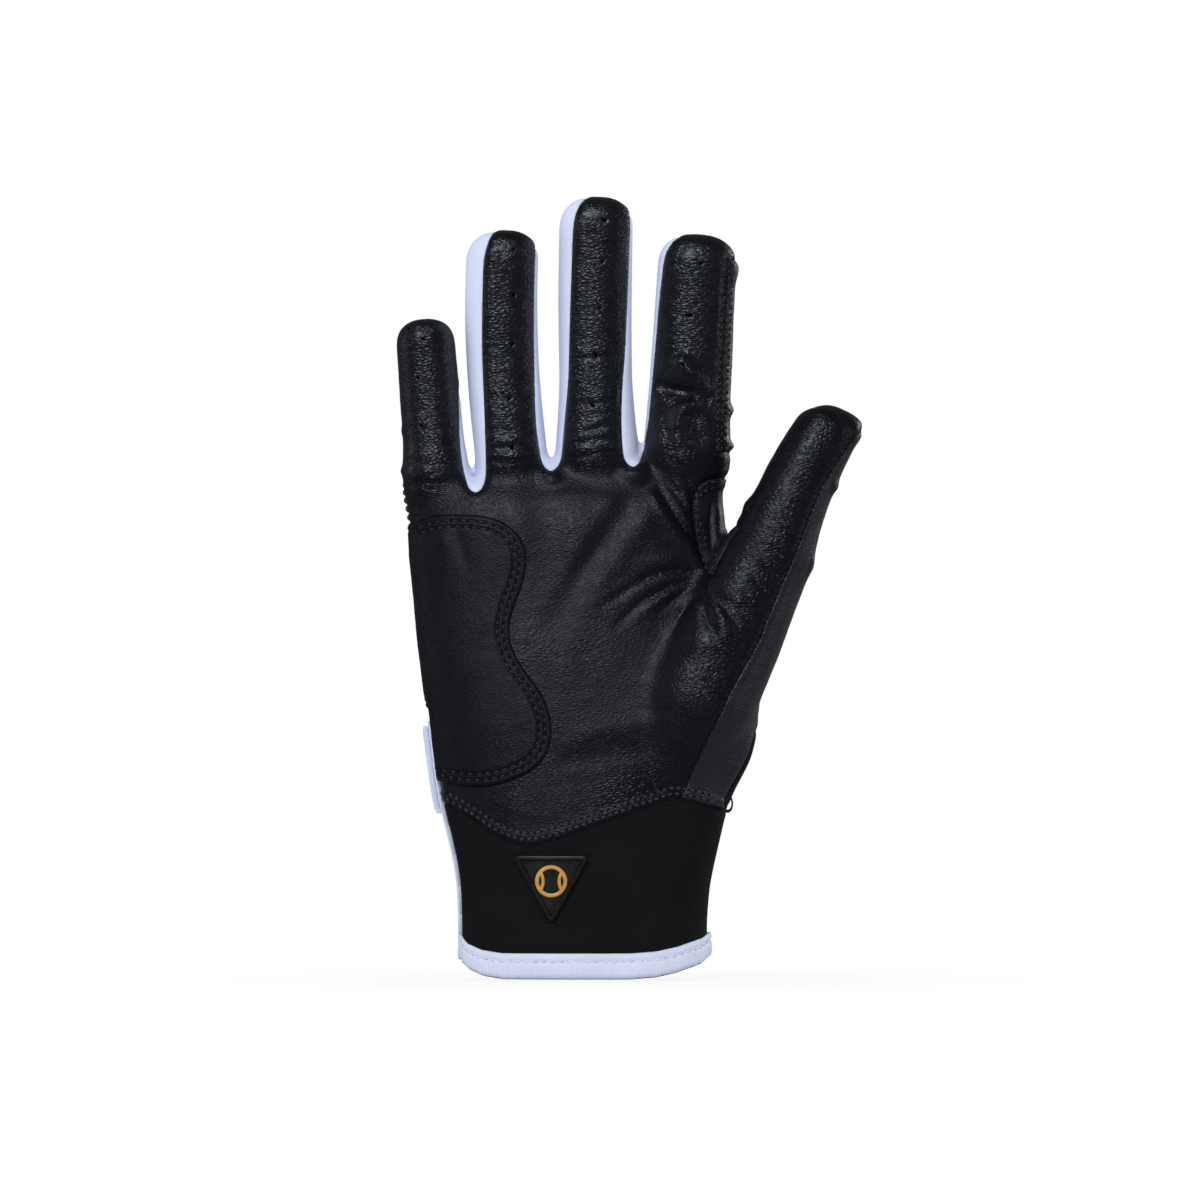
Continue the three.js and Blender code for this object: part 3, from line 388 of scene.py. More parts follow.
def to_mesh(bm, name):
    """A new mesh from a bmesh, which is freed."""
    mesh = bpy.data.meshes.new(name)
    bm.to_mesh(mesh)
    bm.free()
    return mesh


def from_mesh(mesh):
    bm = bmesh.new()
    bm.from_mesh(mesh)
    return bm


def scratch_object(bm, name):
    """An object for modifiers to work on, from a bmesh, which is freed."""
    return new_object(to_mesh(bm, name), name)


def evaluated_mesh(obj, name):
    """The mesh of an object with its modifiers, after which the object is dropped."""
    bpy.context.view_layer.update()
    graph = bpy.context.evaluated_depsgraph_get()
    mesh = bpy.data.meshes.new_from_object(obj.evaluated_get(graph))
    mesh.name = name
    bpy.data.objects.remove(obj)
    return mesh


def values_of(items, key, width=3, kind=np.float64):
    values = np.empty(len(items) * width, kind)
    items.foreach_get(key, values)
    return values.reshape(-1, width)


def mesh_points(mesh):
    return values_of(mesh.vertices, "co")


def mesh_normals(mesh):
    return values_of(mesh.vertices, "normal")


def mesh_edges(mesh):
    return values_of(mesh.edges, "vertices", 2, np.int64)


def mesh_centres(mesh):
    return values_of(mesh.polygons, "center")


def read(bm, reader):
    """What a reader finds in a bmesh, in the bmesh's own order."""
    bm.verts.index_update()
    mesh = bpy.data.meshes.new("read")
    bm.to_mesh(mesh)
    found = reader(mesh)
    bpy.data.meshes.remove(mesh)
    return found


def bell(value, width, middle=0.0):
    """1 at the middle, falling off over a width on both sides."""
    return np.exp(-(((value - middle) / width) ** 2))


def lengths(line):
    """How far along a line each of its points lies."""
    return np.concatenate([[0], np.cumsum(np.sqrt((np.diff(line, axis=0) ** 2).sum(1)))])


def from_steps(points):
    """From steps across and down the picture to (x, z)."""
    points = np.array(points, float)
    return np.stack([points[:, 0] - MIDDLE_STEP, LOWEST_STEP - points[:, 1]], 1) * STEP


def set_points(mesh, co):
    mesh.vertices.foreach_set("co", np.ascontiguousarray(co, np.float32).ravel())
    mesh.update()


def relax(co, pairs, rounds, weight, back=0.0):
    """Evens a surface out; with back near 0.53 it keeps its size while it does."""
    count = np.maximum(np.bincount(pairs.ravel(), minlength=len(co)), 1)[:, None]
    for _ in range(rounds):
        for factor in (0.5, -back) if back else (0.5,):
            sums = np.stack(
                [
                    np.bincount(pairs[:, 0], co[pairs[:, 1], k], len(co))
                    + np.bincount(pairs[:, 1], co[pairs[:, 0], k], len(co))
                    for k in range(3)
                ],
                1,
            )
            co = co + factor * weight[:, None] * (sums / count - co)
    return co


def local(co, digit):
    """Points in a digit's own frame: across, deep and along it."""
    d = DIGITS[digit]
    c, s = math.cos(math.radians(d["lean"])), math.sin(math.radians(d["lean"]))
    x, z = co[:, 0] - d["at"][0], co[:, 2] - d["at"][2]
    return x * c - z * s, co[:, 1] - d["at"][1], x * s + z * c


def off_tube(rows, x, y, z, power):
    """About how far points lie off a tube's surface; inside is negative."""
    rows = np.array(rows)
    left, right, front, back = (np.interp(z, rows[:, 0], k) for k in rows[:, 1:].T)
    wide, deep = (right - left) / 2, (back - front) / 2
    across = np.abs((x - (left + right) / 2) / wide)
    along = np.abs((y - (front + back) / 2) / deep)
    far = (across ** (2 / power) + along ** (2 / power)) ** (power / 2)
    return (far - 1) * np.minimum(wide, deep) + np.maximum(z - rows[-1, 0], 0)


def joined_form():
    """All tubes as one skin, with soft hollows where the digits leave the palm."""
    bm = bmesh.new()
    add_tube(bm, palm_rows(), 96, PALM_POWER)
    for digit in DIGITS:
        add_tube(bm, digit_rows(digit), 48, DIGIT_POWER, digit_place(digit))
    for _, _, x, top, _ in WEBS.values():
        add_tube(bm, web_rows(x, top), 32, 1.0)
    bmesh.ops.recalc_face_normals(bm, faces=bm.faces)
    obj = scratch_object(bm, "form")
    remesh = obj.modifiers.new("Remesh", "REMESH")
    remesh.mode = "VOXEL"
    remesh.voxel_size = VOXEL
    mesh = evaluated_mesh(obj, "form")
    co, pairs = mesh_points(mesh), mesh_edges(mesh)
    palm = off_tube(palm_rows(), *co.T, PALM_POWER)
    hollow = np.zeros(len(co))
    for digit in DIGITS:
        own = off_tube(digit_rows(digit), *local(co, digit), DIGIT_POWER)
        reach = 7.0 if digit == "thumb" else 3.0
        near = np.clip(1.3 - np.abs(palm) / reach, 0, 1) * np.clip(1.3 - np.abs(own) / reach, 0, 1)
        hollow = np.maximum(hollow, near)
    scale = (FINE_VOXEL / VOXEL) ** 2
    co = relax(co, pairs, round(70 * scale), hollow)
    co = relax(co, pairs, round(16 * scale), np.ones(len(co)), 0.52)
    set_points(mesh, co)
    return mesh


# Lines where the skin is cut


def polygon_side(x, z, outline):
    """Distance to a closed outline in the plane seen from the palm; inside is positive."""
    best = np.full(len(x), 1e9)
    inside = np.zeros(len(x), bool)
    for ax, az, bx, bz in np.hstack([outline, np.roll(outline, -1, 0)]):
        dx, dz = bx - ax, bz - az
        t = np.clip(((x - ax) * dx + (z - az) * dz) / (dx * dx + dz * dz + 1e-12), 0, 1)
        best = np.minimum(best, np.hypot(x - ax - t * dx, z - az - t * dz))
        inside ^= ((az > z) != (bz > z)) & (x < (bx - ax) * (z - az) / (bz - az + 1e-12) + ax)
    return np.where(inside, best, -best)


def inside_of(outline):
    """How far inside an outline seen from the palm each point lies."""
    return lambda co: polygon_side(co[:, 0], co[:, 2], outline)


def rounded(points, closed=True):
    """Cuts the corners of an outline twice."""
    points = np.array(points, float)
    for _ in range(2):
        before, after = (points, np.roll(points, -1, 0)) if closed else (points[:-1], points[1:])
        cuts = np.stack([before * 0.75 + after * 0.25, before * 0.25 + after * 0.75], 1).reshape(-1, 2)
        points = cuts if closed else np.vstack([points[:1], cuts, points[-1:]])
    return points


def edge_line(digit, side, share=None):
    """The line up a finger at a share of its half width, as (x, z) from the crease to the tip."""
    d = DIGITS[digit]
    body = d["length"] - d["dome"]
    table = np.array([(0, share), (1, share)] if share else d[side])
    points = []
    for up in (0, 0.13, 0.3, 0.46, 0.62, 0.8, 1):
        out = np.interp(up, *table.T) * half_width(digit, body * up)
        points.append((out + d["bow"] * math.sin(math.pi * body * up / d["length"]), body * up))
    tips = ((0.45, 0.97), (0.8, 0.88), (1.0, 0.78), (1.4, 0.74))
    if side == "left" and not share:
        tips = ((0.45, 0.93), (0.8, 0.72), (1.0, 0.46), (1.4, 0.4))
    for rise, shrink in tips:
        points.append((table[-1, 1] * d["tip"] / 2 * shrink, body + d["dome"] * rise))
    placed = [digit_place(digit) @ Vector((x, 0, z)) for x, z in points]
    return [(v.x, v.z) for v in placed]


def half_width(digit, height):
    d = DIGITS[digit]
    body = d["length"] - d["dome"]
    heights = [0, body * 0.13, body * 0.3, body * 0.62, body]
    widths = [d["base"], d["base"] * 0.45 + d["mid"] * 0.55, d["mid"], (d["mid"] + d["tip"]) / 2, d["tip"]]
    return np.interp(height, heights, widths) / 2


def gap_outline(web, front):
    """The white between two fingers, seen from the palm side or from the back."""
    one, other, x, top, drop = WEBS[web]
    low = top - drop if front else top - 1
    half = 2.7
    bottom = [
        (x - half, low + half * 1.7), (x - half * 0.78, low + half * 0.5), (x - half * 0.2, low),
        (x + half * 0.2, low), (x + half * 0.78, low + half * 0.5), (x + half, low + half * 1.7),
    ]
    down = edge_line(one, "right", None if front else BACK_SHARE)[::-1]
    up = edge_line(other, "left", None if front else -BACK_SHARE)
    core = rounded(down[1:-1] + bottom + up[1:-1], closed=False)
    return np.vstack([down[:1], core, up[-1:]])


GAPS = {web: (gap_outline(web, True), gap_outline(web, False)) for web in WEBS}
PATCH_OUTLINE = rounded(WEB_PATCH)
HEEL_OUTLINE = rounded(HEEL_PAD)
in_patch = inside_of(PATCH_OUTLINE)


def left_of_thumb_seam(co):
    x, _, z = local(co, "thumb")
    return np.interp(z, *THUMB_SEAM.T) - x


def slit_y(z):
    return SLIT["low"] + (SLIT["high"] - SLIT["low"]) * z / SLIT["top"]


def before_side_seam(co):
    """Positive on the palm side of the seam down the little-finger side."""
    slit = (co[:, 2] < SLIT["top"] - 3) & (co[:, 0] < -17)
    return np.where(slit, slit_y(co[:, 2]), SIDE_Y) - co[:, 1]


def over_cuff_seam(co):
    return co[:, 2] - np.interp(co[:, 0], *CUFF_SEAM.T)


def over_hem(co):
    return co[:, 2] - np.interp(co[:, 0], *HEM.T)


def over_tip(co):
    """True where a point lies above the line that the fingertip's leather wraps down to."""
    found = np.zeros(len(co), bool)
    for digit in FINGERS:
        found |= (tip_line(co, digit) > 0) & of_digit(co, digit)
    return found


def in_gap(co, web):
    front, back = GAPS[web]
    return np.where((co[:, 1] < GUSSET_Y) | over_tip(co), inside_of(front)(co), inside_of(back)(co))


def flex_bow(x):
    """How far the knuckle panel's edges drop towards the sides of the hand."""
    return FLEX_DROP * np.clip((x - FLEX_MIDDLE) / (FLEX_RIGHT - FLEX_MIDDLE), -1.2, 1.2) ** 2


def over_flex_line(co, height):
    return co[:, 2] - (height - flex_bow(co[:, 0]))


def in_digit(co):
    """Which digit each point belongs to, or -1 below the creases."""
    found = np.full(len(co), -1)
    for i, (digit, d) in enumerate(DIGITS.items()):
        x, _, z = local(co, digit)
        found[(np.abs(x) < d["base"] / 2 + 1.55) & (z > 0)] = i
    return found


def of_digit(co, digit):
    return in_digit(co) == list(DIGITS).index(digit)


def tip_line(co, digit):
    d = DIGITS[digit]
    return local(co, digit)[2] - (d["length"] - d["dome"] * TIP_OVER)


def share_across(co, digit):
    """How far out a point lies across its finger, 1 at the side."""
    d = DIGITS[digit]
    x, _, z = local(co, digit)
    bow = d["bow"] * np.sin(math.pi * np.clip(z / d["length"], 0, 1))
    return (x - bow) / half_width(digit, z)


def thumb_side_y(z):
    """Where the smooth side panel ends behind the silhouette, or just before it near the cuff."""
    return np.interp(z, [50, 62, 84, 96], [-9.0, -7.0, 2.0, THUMB_SIDE_Y])


def off_holes(co):
    """Distance from the nearest air hole's rim in the fingers' leather."""
    rims = [np.hypot(co[:, 0] - x, co[:, 2] - z) - HOLE_RADIUS for x, z in from_steps(HOLES)]
    return np.where(co[:, 1] < 0, np.minimum(np.min(rims, 0), 9.0), 9.0)


PANELS = [
    "palm_leather", "thumb_web_patch", "thumb_side_panel", "back_hand_panel", "knuckle_flex_panel",
    "knuckle_yoke", "pinky_ring_web", "ring_middle_web", "middle_index_web", "cuff_front", "cuff_back",
    "pinky_front", "pinky_back", "pinky_right_gusset", "ring_front", "ring_back", "ring_left_gusset",
    "ring_right_gusset", "middle_front", "middle_back", "middle_left_gusset", "middle_right_gusset",
    "index_front", "index_back", "index_left_gusset", "index_side_strip", "thumb_front", "thumb_back",
]
ID = {name: i for i, name in enumerate(PANELS)}


def panel_of(co):
    """The panel that each point of the skin belongs to."""
    x, y, z = co.T
    panel = np.full(len(co), ID["back_hand_panel"])
    panel[z < BACK_CUFF] = ID["cuff_back"]
    right = x > FLEX_RIGHT
    panel[(over_flex_line(co, FLEX_LOW) > 0) & ~right] = ID["knuckle_flex_panel"]
    panel[(over_flex_line(co, FLEX_HIGH) > 0) & ~right] = ID["knuckle_yoke"]
    seam, side, cuff = left_of_thumb_seam(co), before_side_seam(co), over_cuff_seam(co)
    panel[(seam < 0) & (y < thumb_side_y(z)) & (cuff > 0) & (x > 0)] = ID["thumb_side_panel"]
    panel[(side > 0) & (cuff < 0)] = ID["cuff_front"]
    palm = (seam > 0) & (side > 0) & (cuff > 0)
    panel[palm] = ID["palm_leather"]
    panel[(seam > 0) & (y < 5) & (in_patch(co) > 0)] = ID["thumb_web_patch"]
    white = np.full(len(co), -1e9)
    for web in WEBS:
        inside = in_gap(co, web)
        panel[(inside > 0) & (z > 130)] = ID[web]
        white = np.maximum(white, inside)
    digit = in_digit(co)
    for i, name in enumerate(DIGITS):
        mine = digit == i
        if name == "thumb":
            panel[mine] = ID["thumb_back"]
            panel[mine & (seam > 0) & (y < THUMB_INNER_Y)] = ID["thumb_front"]
            continue
        share = share_across(co, name)
        over = tip_line(co, name) > 0
        front = mine & ((y < GUSSET_Y) | over)
        panel[mine] = ID[name + "_back"]
        panel[front] = ID[name + "_front"]
        if name == "pinky":
            low = mine & (y >= SIDE_Y) & ~over & (share < 0)
            panel[low] = ID["pinky_back"]
        gusset = mine & (white > 0)
        if name != "pinky":
            panel[gusset & (share < 0)] = ID[name + "_left_gusset"]
        if name == "index":
            low = local(co, "index")[2] < INDEX_STRIP_TOP
            strip = mine & (share > INDEX_SHARE) & (y < GUSSET_Y) & low
            strip |= mine & (share > BACK_SHARE) & (y >= GUSSET_Y) & ~over & low
            panel[strip] = ID["index_side_strip"]
        else:
            panel[gusset & (share > 0)] = ID[name + "_right_gusset"]
    return panel


def cut(bm, field, where=None):
    """Splits faces along the line where field changes sign, after easing the nearest corners onto it."""
    layer = bm.verts.layers.int.get("line") or bm.verts.layers.int.new("line")
    co, pairs = read(bm, mesh_points), read(bm, mesh_edges)
    bm.verts.ensure_lookup_table()
    bm.edges.ensure_lookup_table()
    value = field(co)
    use = np.ones(len(co), bool) if where is None else where(co)

    def crossings():
        a, b = value[pairs].T
        cross = (a * b < 0) & use[pairs].all(1) & (np.abs(a) + np.abs(b) < 4)
        return [(n, float(a[n] / (a[n] - b[n]))) for n in np.nonzero(cross)[0]]

    moves = {}
    for n, t in crossings():
        i, j = pairs[n]
        length = math.dist(co[i], co[j])
        for k, share, other in ((i, t, j), (j, 1 - t, i)):
            if share < CORNER_SHARE and share * length < moves.get(k, (9,))[0]:
                moves[k] = (share * length, co[k] + (co[other] - co[k]) * share)
    for v in bm.verts:
        v[layer] = 0
    for k, (_, place) in moves.items():
        bm.verts[k].co = place
        bm.verts[k][layer] = 1
        value[k] = 0.0
    percents = {bm.edges[n]: t for n, t in crossings()}
    if percents:
        made = bmesh.ops.bisect_edges(bm, edges=list(percents), cuts=1, edge_percents=percents)
        for v in made["geom_split"]:
            if isinstance(v, bmesh.types.BMVert):
                v[layer] = 1
    on_line = [v for v in bm.verts if v[layer] == 1]
    if on_line:
        bmesh.ops.connect_verts(bm, verts=on_line)


def in_mouth(co):
    """Positive in the open slit of the cuff."""
    open_here = (co[:, 0] < SLIT_SIDE) & (co[:, 2] < SLIT["top"])
    return np.where(open_here, SLIT["open"] / 2 - np.abs(co[:, 1] - slit_y(co[:, 2])), -0.6)


def patches_of(bm, label):
    """Connected patches of faces that share a label."""
    bm.faces.index_update()
    bm.faces.ensure_lookup_table()
    seen = np.zeros(len(bm.faces), bool)
    patches = []
    for start in range(len(bm.faces)):
        if seen[start]:
            continue
        seen[start] = True
        patch, stack = [], [start]
        while stack:
            index = stack.pop()
            patch.append(index)
            for e in bm.faces[index].edges:
                for other in e.link_faces:
                    if not seen[other.index] and label[other.index] == label[index]:
                        seen[other.index] = True
                        stack.append(other.index)
        patches.append(patch)
    return patches


def settled(mesh, panel):
    """Gives each stray patch of faces to the panel that it borders most."""
    bm = from_mesh(mesh)
    for _ in range(3):
        patches = sorted(patches_of(bm, panel), key=len)
        kept = {}
        for patch in patches[::-1]:
            own = kept.setdefault(int(panel[patch[0]]), [])
            if len(own) < (2 if PANELS[panel[patch[0]]].endswith("_web") and len(patch) > 10 else 1):
                own.append(patch)
        stray = [patch for patch in patches if not any(patch is own for own in kept[int(panel[patch[0]])])]
        if not stray:
            break
        for patch in stray:
            own, borders = int(panel[patch[0]]), {}
            for index in patch:
                for e in bm.faces[index].edges:
                    for other in e.link_faces:
                        label = int(panel[other.index])
                        if label != own:
                            borders[label] = borders.get(label, 0) + e.calc_length()
            if borders:
                panel[patch] = max(borders, key=borders.get)
    bm.free()
    return panel


def fold_depth(x, z, line, width, depth):
    """Depth of one fold at points seen from the palm side."""
    line = rounded(from_steps(line), closed=False)
    total = lengths(line)
    best = np.full(len(x), 1e9)
    along = np.zeros(len(x))
    for (ax, az), (bx, bz), start, step in zip(line[:-1], line[1:], total, np.diff(total)):
        t = np.clip(((x - ax) * (bx - ax) + (z - az) * (bz - az)) / step**2, 0, 1)
        far = np.hypot(x - ax - t * (bx - ax), z - az - t * (bz - az))
        closer = far < best
        best = np.where(closer, far, best)
        along = np.where(closer, start + t * step, along)
    share = along / total[-1]
    ends = np.clip(share / 0.18, 0, 1) * np.clip((1 - share) / 0.45, 0, 1)
    return depth * bell(best, width) * ends**0.7


def wavy(co, size, seed):
    """Smooth noise of about one unit at points, one value each."""
    scale = 1.0 / size
    shift = Vector((seed * 13.1, seed * 7.7, seed * 3.3))
    return np.array([noise.noise(Vector(p) * scale + shift) for p in co])


def shape_skin(co, normals, panel_at, seam_gap):
    """How far each point of the skin moves outwards, and how wrinkled its leather is."""
    x, y, z = co.T
    front = np.clip(-normals[:, 1] * 1.6 + 0.2, 0, 1)
    finish = np.array([finish_of(name) for name in PANELS] + ["leather"])[panel_at]
    leather = np.isin(finish, ["leather", "patch", "side", "strip"])
    broad = wavy(co, 21, 1)
    middling = wavy(co * (1, 1, 0.6), 8, 2)
    small = wavy(co * (0.8, 1, 1.15), 3.6, 3)
    moved = leather * (0.16 * broad + 0.11 * middling + 0.06 * small) + ~leather * 0.12 * broad
    thumb_x, _, thumb_z = local(co, "thumb")
    cuff = over_cuff_seam(co)
    grained = np.maximum(bell(thumb_x, 9) * (thumb_z > -48), 0.7 * bell(cuff, 7, 6) * (x > 0))
    for digit in FINGERS:
        across, _, up = local(co, digit)
        inside = np.abs(across) < DIGITS[digit]["base"] / 2 + 2
        grained = np.maximum(grained, np.clip((up + 9) / 14, 0, 1) * inside)
    wrinkled = 0.14 + 0.28 * np.clip(middling + 0.2, 0, 1) + 0.5 * grained
    for line, width, depth in FOLDS:
        fold = fold_depth(x, z, line, width, depth * (1.1 if width < 2 else 1)) * front
        moved -= fold * (1.2 if width < 2.3 else 0.75)
        if width < 2:
            wrinkled = np.maximum(wrinkled, 1.6 * np.abs(fold))
    for n, (x0, z0, x1, z1, depth) in enumerate(CREASES):
        bend = (z1 - z0) / 2 + 3 * math.sin(n * 2.4)
        line = [(x0, z0), (x0 + (x1 - x0) * 0.35, z0 + bend), (x0 + (x1 - x0) * 0.7, z1 - bend * 0.3), (x1, z1)]
        fold = fold_depth(x, z, line, 0.75, depth * 1.3) * front * (0.7 + 0.8 * np.clip(small, -0.4, 0.6))
        swell = fold_depth(x, z, [(a, b - 5) for a, b in line], 1.2, depth * 0.45) * front
        moved += swell - fold
        wrinkled = np.maximum(wrinkled, fold_depth(x, z, line, 4.5, 1.0) * front)
    for step_x, step_z, radius, height in LUMPS:
        (x0, z0), = from_steps([(step_x, step_z)])
        moved += height * bell(np.hypot(x - x0, z - z0), radius) * (y > -14)
    moved -= np.where(leather, 0.38, 0.3) * bell(seam_gap, 0.95)
    moved += leather * 0.08 * bell(seam_gap, 1.2, 2.1)
    edge = np.isin(finish, ["leather", "side"]) & (cuff > -0.4) & (cuff < 8) & (y < 4)
    moved += edge * (0.8 * bell(cuff, 0.8, 0.2) + 0.45 * bell(cuff, 0.5, 1.75))
    moved -= (finish == "neoprene") * 0.35 * bell(cuff, 1.2) * (y < 2)
    inner = in_patch(co)
    moved += (finish == "patch") * (0.55 * bell(inner, 0.7, 0.6) + 0.3 * bell(inner, 0.6, 2.1))
    return moved, wrinkled


FINISH_OF = {
    "palm_leather": "leather", "thumb_web_patch": "patch", "thumb_side_panel": "side", "thumb_back": "side",
    "knuckle_flex_panel": "flex", "cuff_front": "neoprene", "cuff_back": "neoprene",
    "index_side_strip": "strip", "back_hand_panel": "micro", "knuckle_yoke": "yoke",
}
# The look and the slot of each finish, and the panels whose leather has a look of its own
LOOK_OF = {
    "leather": ("black_leather", "black_leather"), "strip": ("black_leather", "black_leather"),
    "patch": ("patch_leather", "black_leather"), "side": ("side_leather", "black_microfibre"),
    "flex": ("flex_rib", "black_rubber"), "micro": ("microfibre", "black_microfibre"),
    "yoke": ("microfibre", "black_microfibre"), "white": ("stretch_white", "white_stretch"),
    "neoprene": ("neoprene", "black_neoprene"),
}
OWN_LOOK = {"palm_leather": "palm_leather", "thumb_front": "thumb_leather"}


def finish_of(name):
    if name in FINISH_OF:
        return FINISH_OF[name]
    if name.endswith("_web") or "gusset" in name:
        return "white"
    return "leather" if name.endswith("_front") else "yoke"


work = {}


def box(low=-99, high=999, x0=-99, x1=99, y0=-99, y1=99):
    """A test for points between two heights, and between two x and two y."""
    return lambda co: ((co > (x0, y0, low)) & (co < (x1, y1, high))).all(1)


def cut_skin():
    """The joined form as a mesh with an edge along every seam."""
    bm = from_mesh(joined_form())
    cut(bm, over_hem, box(high=14))
    centres = read(bm, mesh_centres)
    below = (over_hem(centres) < 0) & (centres[:, 2] < 14)
    bmesh.ops.delete(bm, geom=[f for f, use in zip(bm.faces, below) if use], context="FACES")
    for digit in DIGITS:
        half = DIGITS[digit]["base"] / 2 + 3
        cut(bm, lambda co: local(co, digit)[2], lambda co: np.abs(local(co, digit)[0]) < half)
    cut(bm, over_cuff_seam, box(30, 62, y1=5))
    cut(bm, before_side_seam, box(high=69.5, x1=0))
    cut(bm, before_side_seam, box(70.5, 142, x1=0))
    cut(bm, left_of_thumb_seam, box(44, y1=5.5, x0=15))
    cut(bm, lambda co: thumb_side_y(co[:, 2]) - co[:, 1],
        lambda co: box(40, 135, x0=15)(co) & (left_of_thumb_seam(co) < 1))
    cut(bm, lambda co: THUMB_INNER_Y - co[:, 1],
        lambda co: (local(co, "thumb")[2] > -2) & (np.abs(local(co, "thumb")[0]) < 14))
    cut(bm, in_patch, box(104, 144, y1=6, x0=22, x1=56))
    for digit in FINGERS:
        cut(bm, lambda co: tip_line(co, digit), lambda co: of_digit(co, digit) & (co[:, 1] > 0))
    cut(bm, lambda co: GUSSET_Y - co[:, 1], lambda co: box(135, x1=45)(co) & ~over_tip(co))
    for web in WEBS:
        cut(bm, lambda co: in_gap(co, web), lambda co: box(130)(co) & ((co[:, 1] < GUSSET_Y) | over_tip(co)))
        cut(bm, lambda co: in_gap(co, web), lambda co: box(130, y0=GUSSET_Y)(co) & ~over_tip(co))
    cut(bm, lambda co: BACK_CUFF - co[:, 2], box(64, 74, y0=0))
    cut(bm, lambda co: over_flex_line(co, FLEX_LOW), box(95, 112, y0=0, x1=41))
    cut(bm, lambda co: over_flex_line(co, FLEX_HIGH), box(115, 131, y0=0, x1=41))
    cut(bm, lambda co: SIDE_Y - co[:, 1], lambda co: of_digit(co, "pinky") & (share_across(co, "pinky") < 0))
    cut(bm, lambda co: INDEX_STRIP_TOP - local(co, "index")[2],
        lambda co: of_digit(co, "index") & (share_across(co, "index") > 0.6))
    for share, sides in ((INDEX_SHARE, box(x0=20, y1=GUSSET_Y)), (BACK_SHARE, box(x0=20, y0=GUSSET_Y))):
        cut(bm, lambda co: 10 * (share_across(co, "index") - share), lambda co: of_digit(co, "index") & sides(co))
    cut(bm, off_holes, lambda co: off_holes(co) < 2)
    cut(bm, in_mouth, box(high=75, x1=-17))
    return to_mesh(bm, "skin")


def seam_distance(mesh):
    """For each point of the skin, how far off the nearest seam is, and the panel that it is on."""
    bm = from_mesh(mesh)
    finish = [finish_of(name) for name in PANELS] + ["leather"]
    seam_points = kdtree.KDTree(len(bm.verts))
    for e in bm.edges:
        faces = e.link_faces
        if len(faces) == 2 and finish[faces[0].material_index] != finish[faces[1].material_index]:
            seam_points.insert((e.verts[0].co + e.verts[1].co) / 2, 0)
            seam_points.insert(e.verts[0].co, 0)
    seam_points.balance()
    gap = np.array([seam_points.find(v.co)[2] for v in bm.verts])
    at = np.array([min(f.material_index for f in v.link_faces) for v in bm.verts])
    bm.free()
    return gap, at


def skin():
    """The skin, cut along its seams: as worn, smooth, and a tree of each to sit things on."""
    if work:
        return work
    mesh = cut_skin()
    centres = mesh_centres(mesh)
    panel = settled(mesh, panel_of(centres))
    panel[(off_holes(centres) < 0) | (in_mouth(centres) > 0)] = len(PANELS)
    mesh.polygons.foreach_set("material_index", panel.astype(np.int32))
    mesh.update()
    smooth = mesh.copy()
    smooth.name = "smooth_skin"

    gap, at = seam_distance(mesh)
    co, normals = mesh_points(mesh), mesh_normals(mesh)
    moved, wrinkled = shape_skin(co, normals, at, gap)
    set_points(mesh, co + normals * moved[:, None])
    mesh.attributes.new("wrinkle", "FLOAT", "POINT").data.foreach_set("value", wrinkled.astype(np.float32))
    for key, source in (("mesh", mesh), ("smooth", smooth)):
        faces = [tuple(p.vertices) for p in source.polygons]
        work[key] = source
        work[key + "_tree"] = BVHTree.FromPolygons([v.co for v in source.vertices], faces)
    return work


# Finishing a piece


def to_frame(mesh):
    """From the script's millimetres to the frame's metres."""
    set_points(mesh, (mesh_points(mesh) + SHIFT) * MM)


def crease_points(digit):
    """Where a digit's cloth starts to bend and where it follows the digit."""
    place = digit_place(digit)
    reach = 20.0 if digit == "thumb" else 17.0
    return [tuple((np.array(place @ Vector((0, 0, h))) + SHIFT) * MM) for h in (0.0, reach)]


def hang(obj, body):
    """Ties a piece to what carries it: a body, or the cloth between the palm and a digit."""
    if body in DIGITS:
        start, end = crease_points(body)
        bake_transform(obj, "glove_body", body, start, end)
    else:
        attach(obj, body)


def thickened(bm, name, thick, sharp_creases=True):
    """A sheet with its thickness; the cut at a crease stays crisp, so that both sides shade as one."""
    obj = scratch_object(bm, name)
    solid = obj.modifiers.new("Solidify", "SOLIDIFY")
    solid.thickness = thick
    solid.offset = -1
    solid.use_rim = True
    solid.use_even_offset = False
    mesh = evaluated_mesh(obj, name)
    if sharp_creases:
        sharpen_creases(mesh)
    return mesh


def sharpen_creases(mesh):
    """Marks the edges that lie on a digit's crease plane as sharp."""
    co, pairs = mesh_points(mesh), mesh_edges(mesh)
    sharp = np.zeros(len(pairs), bool)
    for digit in DIGITS:
        x, _, z = local(co, digit)
        on = (np.abs(z) < 0.5) & (np.abs(x) < DIGITS[digit]["base"] / 2 + 3)
        flat = np.abs(z[pairs[:, 0]] - z[pairs[:, 1]]) < 0.35
        sharp |= on[pairs[:, 0]] & on[pairs[:, 1]] & flat
    bm = from_mesh(mesh)
    bm.edges.ensure_lookup_table()
    for i in np.nonzero(sharp)[0]:
        e = bm.edges[i]
        if len(e.link_faces) == 2 and e.calc_face_angle(0) > 0.9:
            e.smooth = False
    bm.to_mesh(mesh)
    bm.free()


def keep_faces(bm, wanted, patches=1):
    """Keeps the wanted faces, and of these the largest connected patches."""
    bmesh.ops.delete(bm, geom=[f for f, use in zip(bm.faces, wanted) if not use], context="FACES")
    found = sorted(patches_of(bm, [0] * len(bm.faces)), key=len)
    crumbs = [bm.faces[i] for patch in found[:-patches] for i in patch]
    bmesh.ops.delete(bm, geom=crumbs, context="FACES")
    for f in bm.faces:
        f.material_index = 0
    return bm


